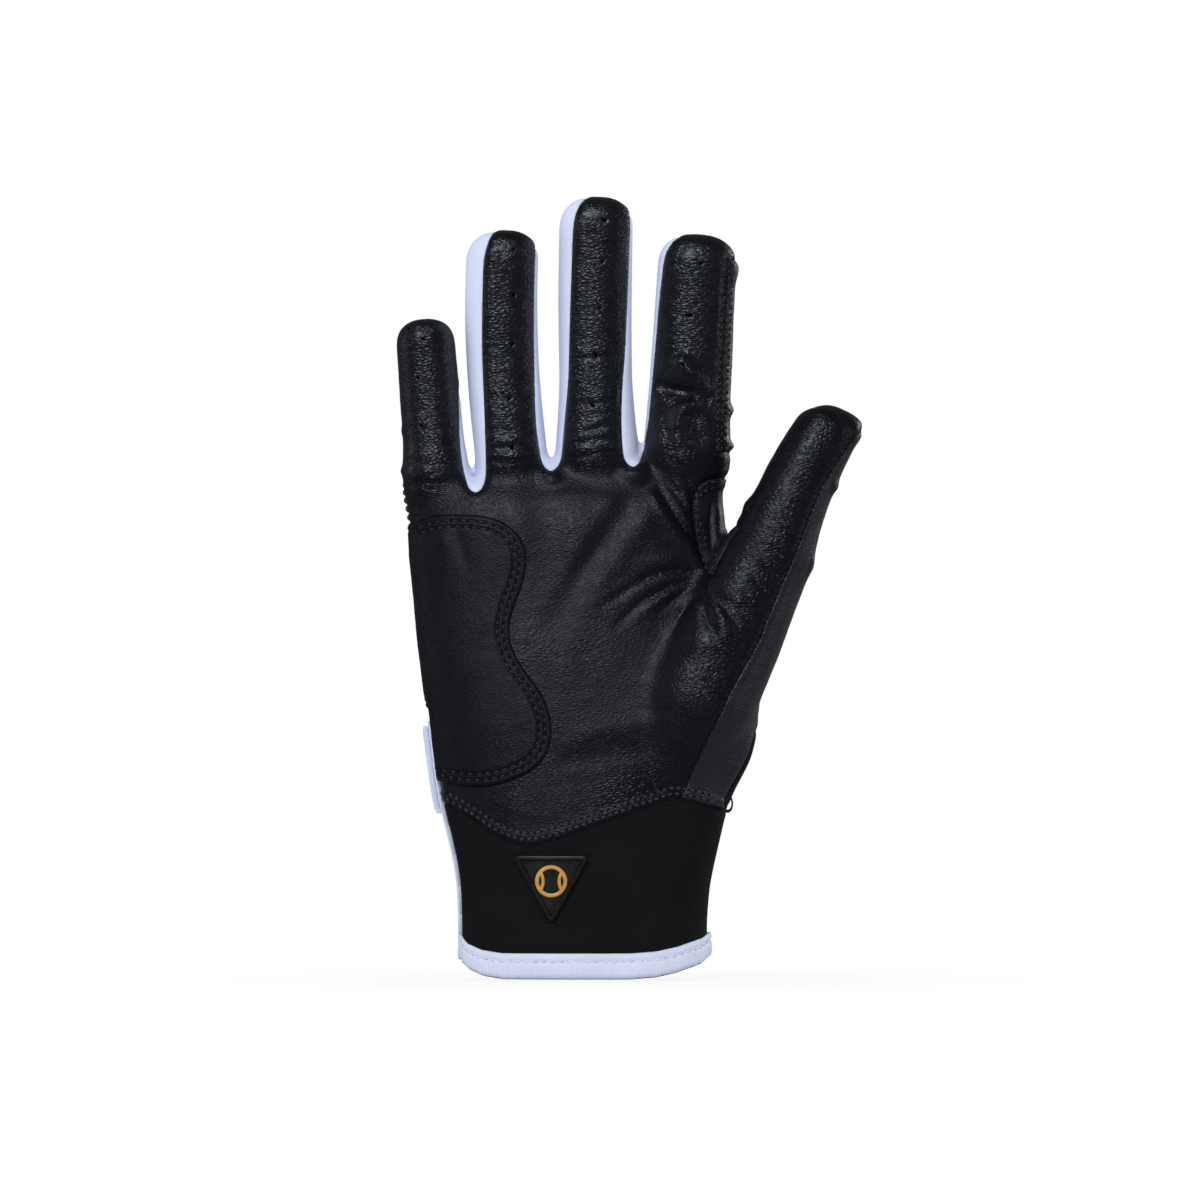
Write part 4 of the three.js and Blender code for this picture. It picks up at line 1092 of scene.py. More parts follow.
def finish_piece(mesh, name, key, body, replaces=(), smooth=True):
    """Places a finished mesh in the frame, gives it its finish and ties it to its body."""
    to_frame(mesh)
    mesh.materials.clear()
    mesh.materials.append(finish(key))
    mesh.polygons.foreach_set("use_smooth", np.full(len(mesh.polygons), smooth))
    mesh.update()
    obj = new_object(mesh, name)
    hang(obj, body)
    if replaces:
        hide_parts(*replaces)
    return obj


def body_of_panel(name):
    digit = name.split("_")[0]
    if digit in DIGITS and not name.endswith("_web") and name not in ("thumb_web_patch", "thumb_side_panel"):
        return digit
    return "glove_body"


def sew(*names):
    """Makes each panel from its part of the skin."""
    for name in names:
        bm = from_mesh(skin()["mesh"])
        keep_faces(bm, [f.material_index == ID[name] for f in bm.faces], 2 if name.endswith("_web") else 1)
        look, slot = LOOK_OF[finish_of(name)]
        mesh = thickened(bm, name, WALL)
        finish_piece(mesh, name + "_cloth", OWN_LOOK.get(name, look), body_of_panel(name), [name])
    return {"FINISHED"}


# Materials


class Wires:
    """A short way to wire a node tree."""

    def __init__(self, tree):
        self.tree = tree

    def add(self, kind, **settings):
        node = self.tree.nodes.new(kind)
        for key, value in settings.items():
            setattr(node, key, value)
        return node

    def link(self, source, target):
        self.tree.links.new(source, target)

    def ranged(self, value, low, high, new_low=0.0, new_high=1.0, smooth=False):
        node = self.add("ShaderNodeMapRange", interpolation_type="SMOOTHSTEP" if smooth else "LINEAR")
        for key, number in zip(("From Min", "From Max", "To Min", "To Max"), (low, high, new_low, new_high)):
            node.inputs[key].default_value = number
        self.link(value, node.inputs["Value"])
        return node.outputs["Result"]

    def math(self, kind, a, b=0):
        node = self.add("ShaderNodeMath", operation=kind)
        for socket, value in zip(node.inputs, (a, b)):
            if isinstance(value, (int, float)):
                socket.default_value = value
            else:
                self.link(value, socket)
        return node.outputs[0]


class Nodes(Wires):
    """A short way to wire a material."""

    def __init__(self, name):
        old = bpy.data.materials.get(name)
        if old:
            bpy.data.materials.remove(old)
        self.material = bpy.data.materials.new(name)
        self.material.use_nodes = True
        super().__init__(self.material.node_tree)
        self.shader = self.tree.nodes["Principled BSDF"]
        self.place = self.add("ShaderNodeTexCoord").outputs["Object"]
        self.normal = None

    def put(self, **values):
        for key, value in values.items():
            self.shader.inputs[key.replace("_", " ")].default_value = value

    def mapped(self, scale, turn=(0, 0, 0), source=None):
        node = self.add("ShaderNodeMapping")
        node.inputs["Scale"].default_value = scale
        node.inputs["Rotation"].default_value = turn
        self.link(source or self.place, node.inputs["Vector"])
        return node.outputs["Vector"]

    def noise(self, scale, detail=2.0, rough=0.5, warp=0.0, kind=None, place=None):
        node = self.add("ShaderNodeTexNoise")
        if kind:
            node.noise_type = kind
        node.inputs["Scale"].default_value = scale
        node.inputs["Detail"].default_value = detail
        node.inputs["Roughness"].default_value = rough
        node.inputs["Distortion"].default_value = warp
        self.link(place or self.place, node.inputs["Vector"])
        return node.outputs[0]

    def cells(self, scale, feature="F1", place=None):
        node = self.add("ShaderNodeTexVoronoi", feature=feature)
        node.inputs["Scale"].default_value = scale
        self.link(place or self.place, node.inputs["Vector"])
        return node.outputs["Distance"]

    def wave(self, scale, direction="Z", warp=0.0):
        node = self.add("ShaderNodeTexWave", bands_direction=direction, wave_profile="SIN")
        node.inputs["Scale"].default_value = scale
        node.inputs["Distortion"].default_value = warp
        node.inputs["Detail"].default_value = 0.0
        self.link(self.place, node.inputs["Vector"])
        return node.outputs["Fac"]

    def mixed(self, factor, first, second):
        node = self.add("ShaderNodeMix", data_type="RGBA")
        self.link(factor, node.inputs["Factor"])
        for name, colour in (("A", first), ("B", second)):
            socket = [s for s in node.inputs if s.name == name and s.type == "RGBA"][0]
            if isinstance(colour, bpy.types.NodeSocket):
                self.link(colour, socket)
            else:
                socket.default_value = (*colour, 1)
        return [s for s in node.outputs if s.type == "RGBA"][0]

    def mottled(self, colour, dark, light, scale, detail=2.0, rough=0.5):
        """A colour that drifts between two shades of itself."""
        drift = self.ranged(self.noise(scale, detail, rough), 0.3, 0.7)
        return self.mixed(drift, tint(colour, dark), tint(colour, light))

    def bump(self, height, distance, strength=1.0):
        """Adds a layer of relief on top of the ones before."""
        node = self.add("ShaderNodeBump")
        node.inputs["Distance"].default_value = distance
        node.inputs["Strength"].default_value = strength
        self.link(height, node.inputs["Height"])
        if self.normal:
            self.link(self.normal, node.inputs["Normal"])
        self.normal = node.outputs["Normal"]

    def done(self, colour=None, rough=None):
        if colour is not None:
            self.link(colour, self.shader.inputs["Base Color"])
        if rough is not None:
            self.link(rough, self.shader.inputs["Roughness"])
        if self.normal:
            self.link(self.normal, self.shader.inputs["Normal"])
        return self.material


def tint(colour, factor):
    return tuple(min(1.0, c * factor) for c in colour)


def leather(name, colour, grain, gloss=0.31, grain_depth=1.0, shine=0.58):
    """Sheepskin: rounded pebbles with painted shade darkening the grooves between them, fine creases where it bends,
    and gloss that breaks up over both.
    """
    n = Nodes(name)
    wrinkle = n.add("ShaderNodeAttribute", attribute_name="wrinkle").outputs["Fac"]
    bent = n.add("ShaderNodeVectorMath", operation="ADD")
    push = n.add("ShaderNodeVectorMath", operation="SCALE")
    sway = n.add("ShaderNodeTexNoise")
    sway.inputs["Scale"].default_value = 260
    push.inputs["Scale"].default_value = 0.0011
    n.link(n.place, sway.inputs["Vector"])
    n.link(sway.outputs["Color"], push.inputs[0])
    n.link(n.place, bent.inputs[0])
    n.link(push.outputs[0], bent.inputs[1])
    spot = n.mapped((0.7, 1.0, 1.38), source=bent.outputs[0])
    edge = n.cells(1 / grain, "DISTANCE_TO_EDGE", place=spot)
    pebble = n.ranged(edge, 0.0, 0.4, smooth=True)
    tone = n.mottled(colour, 0.8, 1.25, 140, 4, 0.6)
    # Painted shade: the colour is darkened to about half in the grooves between the pebbles, where the bump sinks.
    tone = n.mixed(n.ranged(edge, 0.0, 0.12), tint(colour, 0.55), tone)
    crease = n.noise(430, 3, 0.5, 0.4, place=n.mapped((0.35, 0.6, 1.0)))
    fold = n.noise(170, 4, 0.5, 0.5, kind="RIDGED_MULTIFRACTAL", place=n.mapped((0.7, 1.0, 1.1)))
    n.bump(fold, 0.00012 * grain_depth, 0.5)
    n.bump(n.math("MULTIPLY", n.ranged(crease, 0.38, 0.62), wrinkle), 0.00014 * grain_depth, 0.7)
    n.bump(n.math("MULTIPLY", pebble, n.ranged(wrinkle, 0.1, 0.9, 0.5, 1.0)), 0.0001 * grain_depth, 1.0)
    n.bump(n.noise(2.6 / grain, 2, 0.5), 0.000012 * grain_depth, 0.8)
    rough = n.math("ADD", n.ranged(n.noise(420, 3, 0.6), 0.3, 0.7, -0.03, 0.05),
                   n.ranged(wrinkle, 0.15, 0.7, gloss + 0.14, gloss + 0.02))
    n.put(Specular_IOR_Level=shine, Specular_Tint=(0.86, 0.92, 1.0, 1.0))
    return n.done(tone, rough)


def neoprene(name, colour):
    """Stretch cuff cloth: a dull fine knit with faint level ribs, their valleys darkened in the colour as painted
    shade.
    """
    n = Nodes(name)
    tone = n.mottled(colour, 0.8, 1.4, 60, 4)
    # Painted shade: the waves that raise the ribs also darken the colour in their valleys.
    tone = n.mixed(n.ranged(n.wave(430, "Z", warp=0.6), 0.2, 0.8), tint(colour, 0.7), tone)
    n.bump(n.wave(430, "Z", warp=0.6), 0.0001, 0.6)
    n.bump(n.wave(760, "X", warp=0.4), 0.00006, 0.5)
    n.bump(n.noise(2600, 2), 0.00005, 0.5)
    n.put(Roughness=0.85, Specular_IOR_Level=0.18)
    return n.done(tone)


def smooth_side(name, colour, grain):
    """Thin smooth leather beside the thumb, with soft fine creases across it."""
    n = Nodes(name)
    tone = n.mottled(colour, 0.85, 1.2, 110, 4, 0.6)
    crease = n.noise(430, 4, 0.6, 0.6, place=n.mapped((0.3, 0.5, 1.0), (0, 0.35, 0)))
    n.bump(n.ranged(crease, 0.35, 0.65), 0.00016, 0.5)
    n.bump(n.ranged(n.cells(1.3 / grain, "DISTANCE_TO_EDGE"), 0, 0.3, smooth=True), 0.00005, 0.7)
    n.put(Specular_IOR_Level=0.6, Sheen_Weight=0.05, Sheen_Roughness=0.4)
    return n.done(tone, n.ranged(n.noise(300, 3), 0.3, 0.7, 0.34, 0.44))


def layered(name, colour, shades, layers, **looks):
    """Drifting colour under layers of relief: (scale, direction or noise settings, distance, strength)."""
    n = Nodes(name)
    tone = n.mottled(colour, *shades)
    for scale, kind, distance, strength in layers:
        relief = n.wave(scale, kind) if isinstance(kind, str) else n.noise(scale, *kind)
        n.bump(relief, distance, strength)
    n.put(**looks)
    return n.done(tone)


def rubber(name, colour, rough):
    """Moulded rubber, a little uneven in its gloss."""
    n = Nodes(name)
    tone = n.mottled(colour, 0.85, 1.2, 300, 3)
    n.bump(n.noise(1800, 2), 0.00002, 0.5)
    n.put(Specular_IOR_Level=0.5)
    return n.done(tone, n.ranged(n.noise(500, 2), 0.3, 0.7, rough - 0.05, rough + 0.08))


def binding(name, colour, ribs):
    """Woven white tape; the hem's lower half has fine upright ribs."""
    n = Nodes(name)
    run = n.add("ShaderNodeAttribute", attribute_name="run").outputs["Fac"]
    up = n.add("ShaderNodeAttribute", attribute_name="up").outputs["Fac"]
    tone = n.mottled(colour, 0.93, 1, 150, 3)
    waves = n.math("SINE", n.math("MULTIPLY", run, 2 * math.pi / 0.85))
    low = n.ranged(up, 2.6, 3.4, 1.0, 0.12) if ribs else n.ranged(up, 0, 1, 0.35, 0.35)
    n.bump(n.math("MULTIPLY", waves, low), 0.0001, 0.55)
    n.bump(n.noise(1400, 3), 0.00004, 0.5)
    n.put(Roughness=0.62, Sheen_Weight=0.12, Sheen_Roughness=0.4)
    return n.done(tone)


def pile(name, colour):
    """Hook and loop cloth: a dense field of small tufts."""
    n = Nodes(name)
    tone = n.mixed(n.ranged(n.cells(1100), 0.1, 0.6), tint(colour, 1.8), tint(colour, 0.5))
    n.bump(n.cells(1100), 0.0003, 0.9)
    n.bump(n.noise(2600, 3), 0.00012, 0.6)
    n.put(Roughness=0.95, Sheen_Weight=0.2)
    return n.done(tone)


def thread(name, colour, rough):
    return layered(name, colour, (0.75, 1.25, 900, 2), [(1700, "DIAGONAL", 0.00004, 0.6)], Roughness=rough)


def settings():
    return bpy.context.scene.glove


FINISHES = {
    "black_leather": lambda s: leather("Black sheepskin", s.leather_colour, s.grain_size),
    "palm_leather": lambda s: leather("Palm sheepskin", s.leather_colour, s.grain_size, shine=0.33),
    "thumb_leather": lambda s: leather("Thumb sheepskin", s.leather_colour, s.grain_size, shine=0.38),
    "pad_leather": lambda s: leather("Heel pad sheepskin", s.leather_colour, s.grain_size * 0.75, 0.34, 1.0, 0.28),
    "patch_leather": lambda s: leather("Web patch leather", tint(s.side_colour, 0.9), s.grain_size, 0.4, 0.6, 0.42),
    "side_leather": lambda s: smooth_side("Smooth side leather", s.side_colour, s.grain_size),
    "stretch_white": lambda s: layered(
        "White stretch knit", s.white_colour, (0.95, 1, 90, 3),
        [(1500, "X", 0.00003, 0.5), (1100, "Z", 0.00003, 0.4), (160, (3,), 0.0002, 0.3)],
        Roughness=0.8, Specular_IOR_Level=0.25),
    "neoprene": lambda s: neoprene("Stretch cuff knit", s.neoprene_colour),
    "microfibre": lambda s: layered(
        "Back microfibre", (0.0075, 0.0075, 0.0095), (0.7, 1.4, 250, 4), [(1500, (3, 0.7), 0.00008, 0.7)],
        Roughness=0.8, Specular_IOR_Level=0.25, Sheen_Weight=0.04, Sheen_Roughness=0.45),
    "flex_rib": lambda s: layered(
        "Ribbed knuckle panel", (0.006, 0.006, 0.007), (0.8, 1.3, 260, 3),
        [(95, "Z", 0.0006, 0.8), (1600, (2,), 0.00003, 0.5)], Roughness=0.55),
    "pad_rubber": lambda s: rubber("Finger pad rubber", (0.011, 0.011, 0.013), 0.45),
    "hem_tape": lambda s: binding("Ribbed hem tape", s.binding_colour, True),
    "slit_tape": lambda s: binding("Slit tape", s.binding_colour, False),
    "webbing": lambda s: layered(
        "White strap webbing", s.binding_colour, (0.92, 1, 120, 3),
        [(620, "X", 0.00008, 0.6), (520, "Z", 0.00006, 0.5)], Roughness=0.65),
    "black_rubber": lambda s: rubber("Black moulded rubber", (0.0035, 0.0035, 0.0045), 0.36),
    "gold_rubber": lambda s: rubber("Gold moulded rubber", s.gold_colour, 0.3),
    "pile": lambda s: pile("Black hook and loop pile", (0.012, 0.012, 0.014)),
    "label": lambda s: layered(
        "Woven label", (0.72, 0.72, 0.74), (0.9, 1, 200, 3),
        [(900, "X", 0.00003, 0.4), (900, "Z", 0.00003, 0.4)], Roughness=0.7),
    # Partly painted highlight: the black thread is a little lighter than the leather, standing in for its sheen.
    "black_thread": lambda s: thread("Black thread", (0.014, 0.0145, 0.018), 0.32),
    # Partly painted highlight: dark thread lightened to grey, standing in for the light that it catches on the raised
    # seams.
    "greyed_sheen_thread": lambda s: thread("Dark thread greyed for sheen", (0.026, 0.026, 0.031), 0.38),
    # Painted shade: near-black matt beads sunk into the leather stand in for the shade inside the needle holes.
    "hole_shade": lambda s: thread("Painted needle hole shade", (0.0008, 0.0008, 0.001), 1.0),
    "white_thread": lambda s: thread("White thread", (0.62, 0.66, 0.8), 0.5),
}
made_finishes = {}


def finish(key):
    """A finish of the glove, made the first time a piece asks for it."""
    if key not in made_finishes:
        made_finishes[key] = FINISHES[key](settings())
    return made_finishes[key]


# Pieces laid on the skin


def overlay_bm(fields, within=None, source="smooth", patches=1):
    """A copy of the skin, cut along fields, where all of them are positive and within holds."""
    def keep(co, margin):
        tests = [field(co) > -margin for field in fields]
        return np.all(tests + [within(co, margin)] if within else tests, 0)

    bm = from_mesh(skin()[source])
    inside = keep(read(bm, mesh_points), OVERLAY_MARGIN)
    bmesh.ops.delete(bm, geom=[v for v, use in zip(bm.verts, inside) if not use], context="VERTS")
    for field in fields:
        cut(bm, field)
    return keep_faces(bm, keep(read(bm, mesh_centres), 0), patches)


def lift(bm, height, even=0):
    """Moves a sheet outwards by a height for each point, after evening it out."""
    bm.normal_update()
    co = read(bm, mesh_points)
    if even:
        free = np.array([0.0 if v.is_boundary else 1.0 for v in bm.verts])
        co = relax(co, read(bm, mesh_edges), even, free)
        for v, p in zip(bm.verts, co):
            v.co = p
        bm.normal_update()
    for v, h in zip(bm.verts, height(co)):
        v.co += v.normal * float(h)


def edge_distance(bm):
    """Distance of each point of a sheet from the sheet's edge."""
    tree = kdtree.KDTree(len(bm.verts))
    for e in bm.edges:
        if e.is_boundary:
            tree.insert(e.verts[0].co, 0)
            tree.insert((e.verts[0].co + e.verts[1].co) / 2, 0)
    tree.balance()
    return np.array([tree.find(v.co)[2] for v in bm.verts])


def on_skin(x, z, back=False, tree="mesh_tree"):
    """The point of the skin seen at x, z from the palm side, or from the back, and its normal."""
    start = Vector((x, 90 if back else -90, z))
    return skin()[tree].ray_cast(start, Vector((0, -1 if back else 1, 0)))[:2]


def walk(line, pitch, shift=0.5):
    """Points at an even pitch along a line, with the direction there."""
    line = np.array(line, float)
    total = lengths(line)
    count = max(2, int(total[-1] / pitch))
    at = (np.arange(count) + shift) * total[-1] / count

    def places(where):
        return np.stack([np.interp(where, total, k) for k in line.T], 1)

    return places(at), places(np.minimum(at + 0.3, total[-1])) - places(np.maximum(at - 0.3, 0))


def beside(line, off):
    """A line of (x, z) moved sideways; positive is to the left of its direction."""
    line = np.array(line, float)
    ahead = np.gradient(line, axis=0)
    ahead /= np.hypot(*ahead.T)[:, None] + 1e-9
    return line + np.stack([-ahead[:, 1], ahead[:, 0]], 1) * off


def stitch_row(rows, line, pitch, size, radius, lifted=0.0, back=False, tree="mesh_tree", shift=0.5):
    """Sews short threads along a line of (x, z) seen from the palm side, or (x, y, z) near the skin."""
    places, aheads = walk(line, pitch, shift)
    for place, ahead in zip(places, aheads):
        if len(place) == 2:
            found, normal = on_skin(*place, back, tree)
            if found is None or abs(normal.y) < 0.12:
                continue
            ahead = Vector((ahead[0], 0, ahead[1]))
        else:
            found, normal = skin()[tree].find_nearest(Vector(place))[:2]
            ahead = Vector(ahead)
        ahead = (ahead - normal * ahead.dot(normal)).normalized()
        rows.append((found + normal * (lifted + radius * 0.2), ahead, normal, size, radius))


def thread_piece(rows, name, key, body):
    """One short thread, repeated at each place of the rows."""
    bm = bmesh.new()
    bmesh.ops.create_uvsphere(bm, u_segments=6, v_segments=5, radius=1.0)
    bmesh.ops.rotate(bm, verts=bm.verts, cent=(0, 0, 0), matrix=Matrix.Rotation(math.pi / 2, 3, "Y"))
    one = to_mesh(bm, "thread")
    shape = mesh_points(one)
    bm = bmesh.new()
    for _ in rows:
        bm.from_mesh(one)
    mesh = to_mesh(bm, name)
    placed = []
    for place, ahead, normal, size, radius in rows:
        side = np.array(normal.cross(ahead))
        ahead, normal = np.array(ahead), np.array(normal)
        along, out = shape[:, :1] * size / 2, shape[:, 2:] * radius - 0.6 * radius * shape[:, :1] ** 2
        placed.append(np.array(place) + along * ahead + shape[:, 1:2] * radius * side + out * normal)
    set_points(mesh, np.vstack(placed))
    finish_piece(mesh, name, key, body)


class GLOVE_OT_palm_side(bpy.types.Operator):
    """Sews the panels of the palm side below the fingers"""

    bl_idname = "glove.palm_side"
    bl_label = "Palm side"

    def execute(self, context):
        return sew("palm_leather", "thumb_web_patch", "thumb_side_panel")


class GLOVE_OT_webs(bpy.types.Operator):
    """Sews the white bottoms between the fingers"""

    bl_idname = "glove.webs"
    bl_label = "Finger webs"

    def execute(self, context):
        return sew(*WEBS)


class GLOVE_OT_fingers(bpy.types.Operator):
    """Sews the leather, back and side panels of the four fingers"""

    bl_idname = "glove.fingers"
    bl_label = "Fingers"

    def execute(self, context):
        return sew(*[name for name in PANELS if body_of_panel(name) in FINGERS])


class GLOVE_OT_thumb(bpy.types.Operator):
    """Sews the thumb's leather and back"""

    bl_idname = "glove.thumb"
    bl_label = "Thumb"

    def execute(self, context):
        return sew("thumb_front", "thumb_back")


class GLOVE_OT_back(bpy.types.Operator):
    """Sews the back of the hand"""

    bl_idname = "glove.back_of_hand"
    bl_label = "Back of the hand"

    def execute(self, context):
        return sew("back_hand_panel", "knuckle_flex_panel", "knuckle_yoke")


class GLOVE_OT_cuff(bpy.types.Operator):
    """Sews the stretch cuff"""

    bl_idname = "glove.cuff"
    bl_label = "Cuff"

    def execute(self, context):
        return sew("cuff_front", "cuff_back")


class GLOVE_OT_heel_pad(bpy.types.Operator):
    """Lays the second leather on the heel of the hand"""

    bl_idname = "glove.heel_pad"
    bl_label = "Heel pad"

    def execute(self, context):
        def side(co):
            return SIDE_Y - 0.2 - co[:, 1]

        def off_slit(co):
            return np.where(co[:, 2] < 75, slit_y(co[:, 2]) - 5.8 - co[:, 1], side(co))

        bm = overlay_bm([inside_of(HEEL_OUTLINE), side, off_slit], source="mesh")
        bmesh.ops.subdivide_edges(bm, edges=bm.edges[:], cuts=1, use_grid_fill=True)
        edge = edge_distance(bm)
        co = read(bm, mesh_points)
        puff = 0.95 + 0.45 * (1 - np.exp(-edge / 5))
        sewn = 0.28 * sum(bell(edge, 0.5, row) for row in HEEL_ROWS)
        height = puff - sewn - 0.5 * bell(edge, 0.4) + 0.12 * wavy(co, 9, 5)
        lift(bm, lambda _: height)
        work["pad_tree"] = BVHTree.FromBMesh(bm)
        mesh = thickened(bm, "heel_pad", 0.75)
        obj = finish_piece(mesh, "heel_pad_leather", "pad_leather", "glove_body", ["heel_pad"])
        return {"FINISHED"}


class GLOVE_OT_bindings(bpy.types.Operator):
    """Folds the white tape round the hem and up the slit"""

    bl_idname = "glove.bindings"
    bl_label = "Bindings"

    def execute(self, context):
        half_open = SLIT["open"] / 2

        def off_mouth(co):
            return np.abs(co[:, 1] - slit_y(co[:, 2])) - half_open

        def on_side(co):
            return co[:, 0] < SLIT_SIDE

        def top(co):
            return HEM_HEIGHT - over_hem(co)

        def beside_slit(co):
            return np.where(on_side(co), off_mouth(co) - SLIT["tape"] - 0.2, 9)

        bm = overlay_bm([top, beside_slit], lambda co, _: co[:, 2] < 22)
        self.fold(bm, over_hem, HEM_HEIGHT, "hem_binding", "hem_tape")

        def tall(co):
            return SLIT["top"] - 1.2 - co[:, 2]

        def tape(co):
            return np.where(on_side(co), SLIT["tape"] - off_mouth(co), -9)

        bm = overlay_bm([tape, tall], lambda co, margin: on_side(co) & (off_mouth(co) > -margin), patches=2)
        self.fold(bm, off_mouth, SLIT["tape"], "slit_binding", "slit_tape")
        return {"FINISHED"}

    def fold(self, bm, distance, width, name, key):
        """Gives tape its rounded fold at the edge that it binds."""
        bmesh.ops.subdivide_edges(bm, edges=bm.edges[:], cuts=1, use_grid_fill=True)
        bm.normal_update()
        co = read(bm, mesh_points)
        s = np.clip(distance(co), 0, width)
        fold = np.sqrt(np.clip(1 - np.clip(1 - s / 1.7, 0, 1) ** 2, 0.02, 1))
        ease = np.clip((width - s) / 0.7, 0, 1)
        sewn = 0.3 * bell(s, 0.5, HEM_THREAD) if name == "hem_binding" else 0.0
        outer = -0.6 + 1.75 * fold - (1 - np.sqrt(ease)) * 0.5 - sewn
        run = around(co)
        layers = bm.verts.layers.float
        run_layer, up_layer = layers.new("run"), layers.new("up")
        deform = bm.verts.layers.deform.verify()
        for v, h, r, u, f in zip(bm.verts, outer, run, s, fold):
            v.co += v.normal * float(h)
            v[run_layer] = float(r)
            v[up_layer] = float(u)
            v[deform][0] = float(f)
        obj = scratch_object(bm, name)
        obj.vertex_groups.new(name="fold")
        solid = obj.modifiers.new("Solidify", "SOLIDIFY")
        solid.thickness = 3.4
        solid.offset = -1
        solid.vertex_group = "fold"
        solid.thickness_vertex_group = 0.05
        finish_piece(evaluated_mesh(obj, name), name + "_tape", key, "glove_body", [name])


def around(co):
    """How far round the wrist a point lies, in millimetres."""
    wide, deep = WRIST
    x, y = squared_circle(np.linspace(-math.pi, math.pi, 721), PALM_POWER)
    length = lengths(np.stack([wide * x, deep * y], 1))
    real = np.arctan2(y, x)
    order = np.argsort(real)
    return np.interp(np.arctan2(co[:, 1] / deep, co[:, 0] / wide), real[order], length[order])


def rounded_corners(corners, radius):
    """An outline with each corner turned in a small arc."""
    corners = np.array(corners, float)
    made = []
    for i, at in enumerate(corners):
        before = corners[i - 1] - at
        after = corners[(i + 1) % len(corners)] - at
        start = at + before / np.hypot(*before) * radius
        end = at + after / np.hypot(*after) * radius
        for t in np.linspace(0, 1, 6):
            made.append(start * (1 - t) ** 2 + at * 2 * t * (1 - t) + end * t**2)
    return np.array(made)


class GLOVE_OT_strap(bpy.types.Operator):
    """Makes the closing strap with its hook, loop and moulded tab"""

    bl_idname = "glove.strap"
    bl_label = "Wrist strap"

    def execute(self, context):
        strap = rounded_corners(STRAP, 6)
        hook = rounded_corners([(-6, 46.5), (26, 42.5), (26, 56.5), (-6, 61)], 1.5)
        loop = rounded_corners([(-22, 40), (30, 40), (30, 65), (-22, 65)], 4)
        tab = rounded_corners([(15, 41), (35.2, 38.4), (35.2, 56), (15, 59.2)], 3)
        top = STRAP_LIFT + STRAP_THICK
        self.layer("wrist_strap", strap, -2.6, top, 1.55, "webbing", "white_strap", "strap", 24)
        self.layer("hook_patch", hook, 2, STRAP_LIFT + 0.75, 0.75, "pile", "black_pile", "strap", 24)
        self.layer("loop_patch", loop, 2, 1.15, 0.85, "pile", "black_pile", "glove_body", 12)
        self.layer("pull_tab", tab, 0, top + 1.6, 1.25, "black_rubber", "black_rubber", "strap", 30)
        return {"FINISHED"}

    def layer(self, node, outline, start, top, thick, key, slot, body, even):
        """A layer of the closure: its outline, where it starts round the wrist, its top above the skin."""
        bm = overlay_bm([inside_of(outline), lambda co: co[:, 1] - start], lambda co, _: co[:, 2] > 20)
        edge = edge_distance(bm)
        x, y, _ = read(bm, mesh_points).T
        low = 0.45 * bell(edge, 0.7)
        if node == "wrist_strap":
            low += 0.2 * bell(edge, 0.5, 2.2) + 0.3 * (1 - np.clip((y - start) / 9, 0, 1)) ** 1.5
        if node == "pull_tab":
            for groove in (18.6, 22.2, 25.8, 29.4):
                low += 0.5 * bell(x, 0.7, groove) * (edge > 1.5)
        lift(bm, lambda _: top - low, even)
        mesh = thickened(bm, node, thick, sharp_creases=False)
        finish_piece(mesh, node + "_piece", key, body, [node])


def shape_solid(outline, thick, bevel):
    """A flat plate of an outline (x, z) that grows towards -Y from y 0, its face edges rounded."""
    bm = bmesh.new()
    face = bm.faces.new([bm.verts.new((x, 0, z)) for x, z in outline])
    face.normal_update()
    if face.normal.y < 0:
        face.normal_flip()
    made = bmesh.ops.extrude_face_region(bm, geom=[face])
    verts = [v for v in made["geom"] if isinstance(v, bmesh.types.BMVert)]
    bmesh.ops.translate(bm, verts=verts, vec=(0, -thick, 0))
    bmesh.ops.recalc_face_normals(bm, faces=bm.faces)
    rim = [e for e in bm.edges if all(v.co.y < -thick * 0.99 for v in e.verts)]
    bmesh.ops.bevel(bm, geom=rim, offset=bevel, segments=3, profile=0.5, material=-1, affect="EDGES",
                    clamp_overlap=True)
    return bm


def drape(bm, base):
    """Bends a flat plate round the front of the cuff, its y being its height above the skin."""
    for v in bm.verts:
        place, _ = on_skin(v.co.x, v.co.z, tree="smooth_tree")
        if place is None:
            raise RuntimeError("the badge reaches past the cuff")
        v.co.y = place.y - base + v.co.y


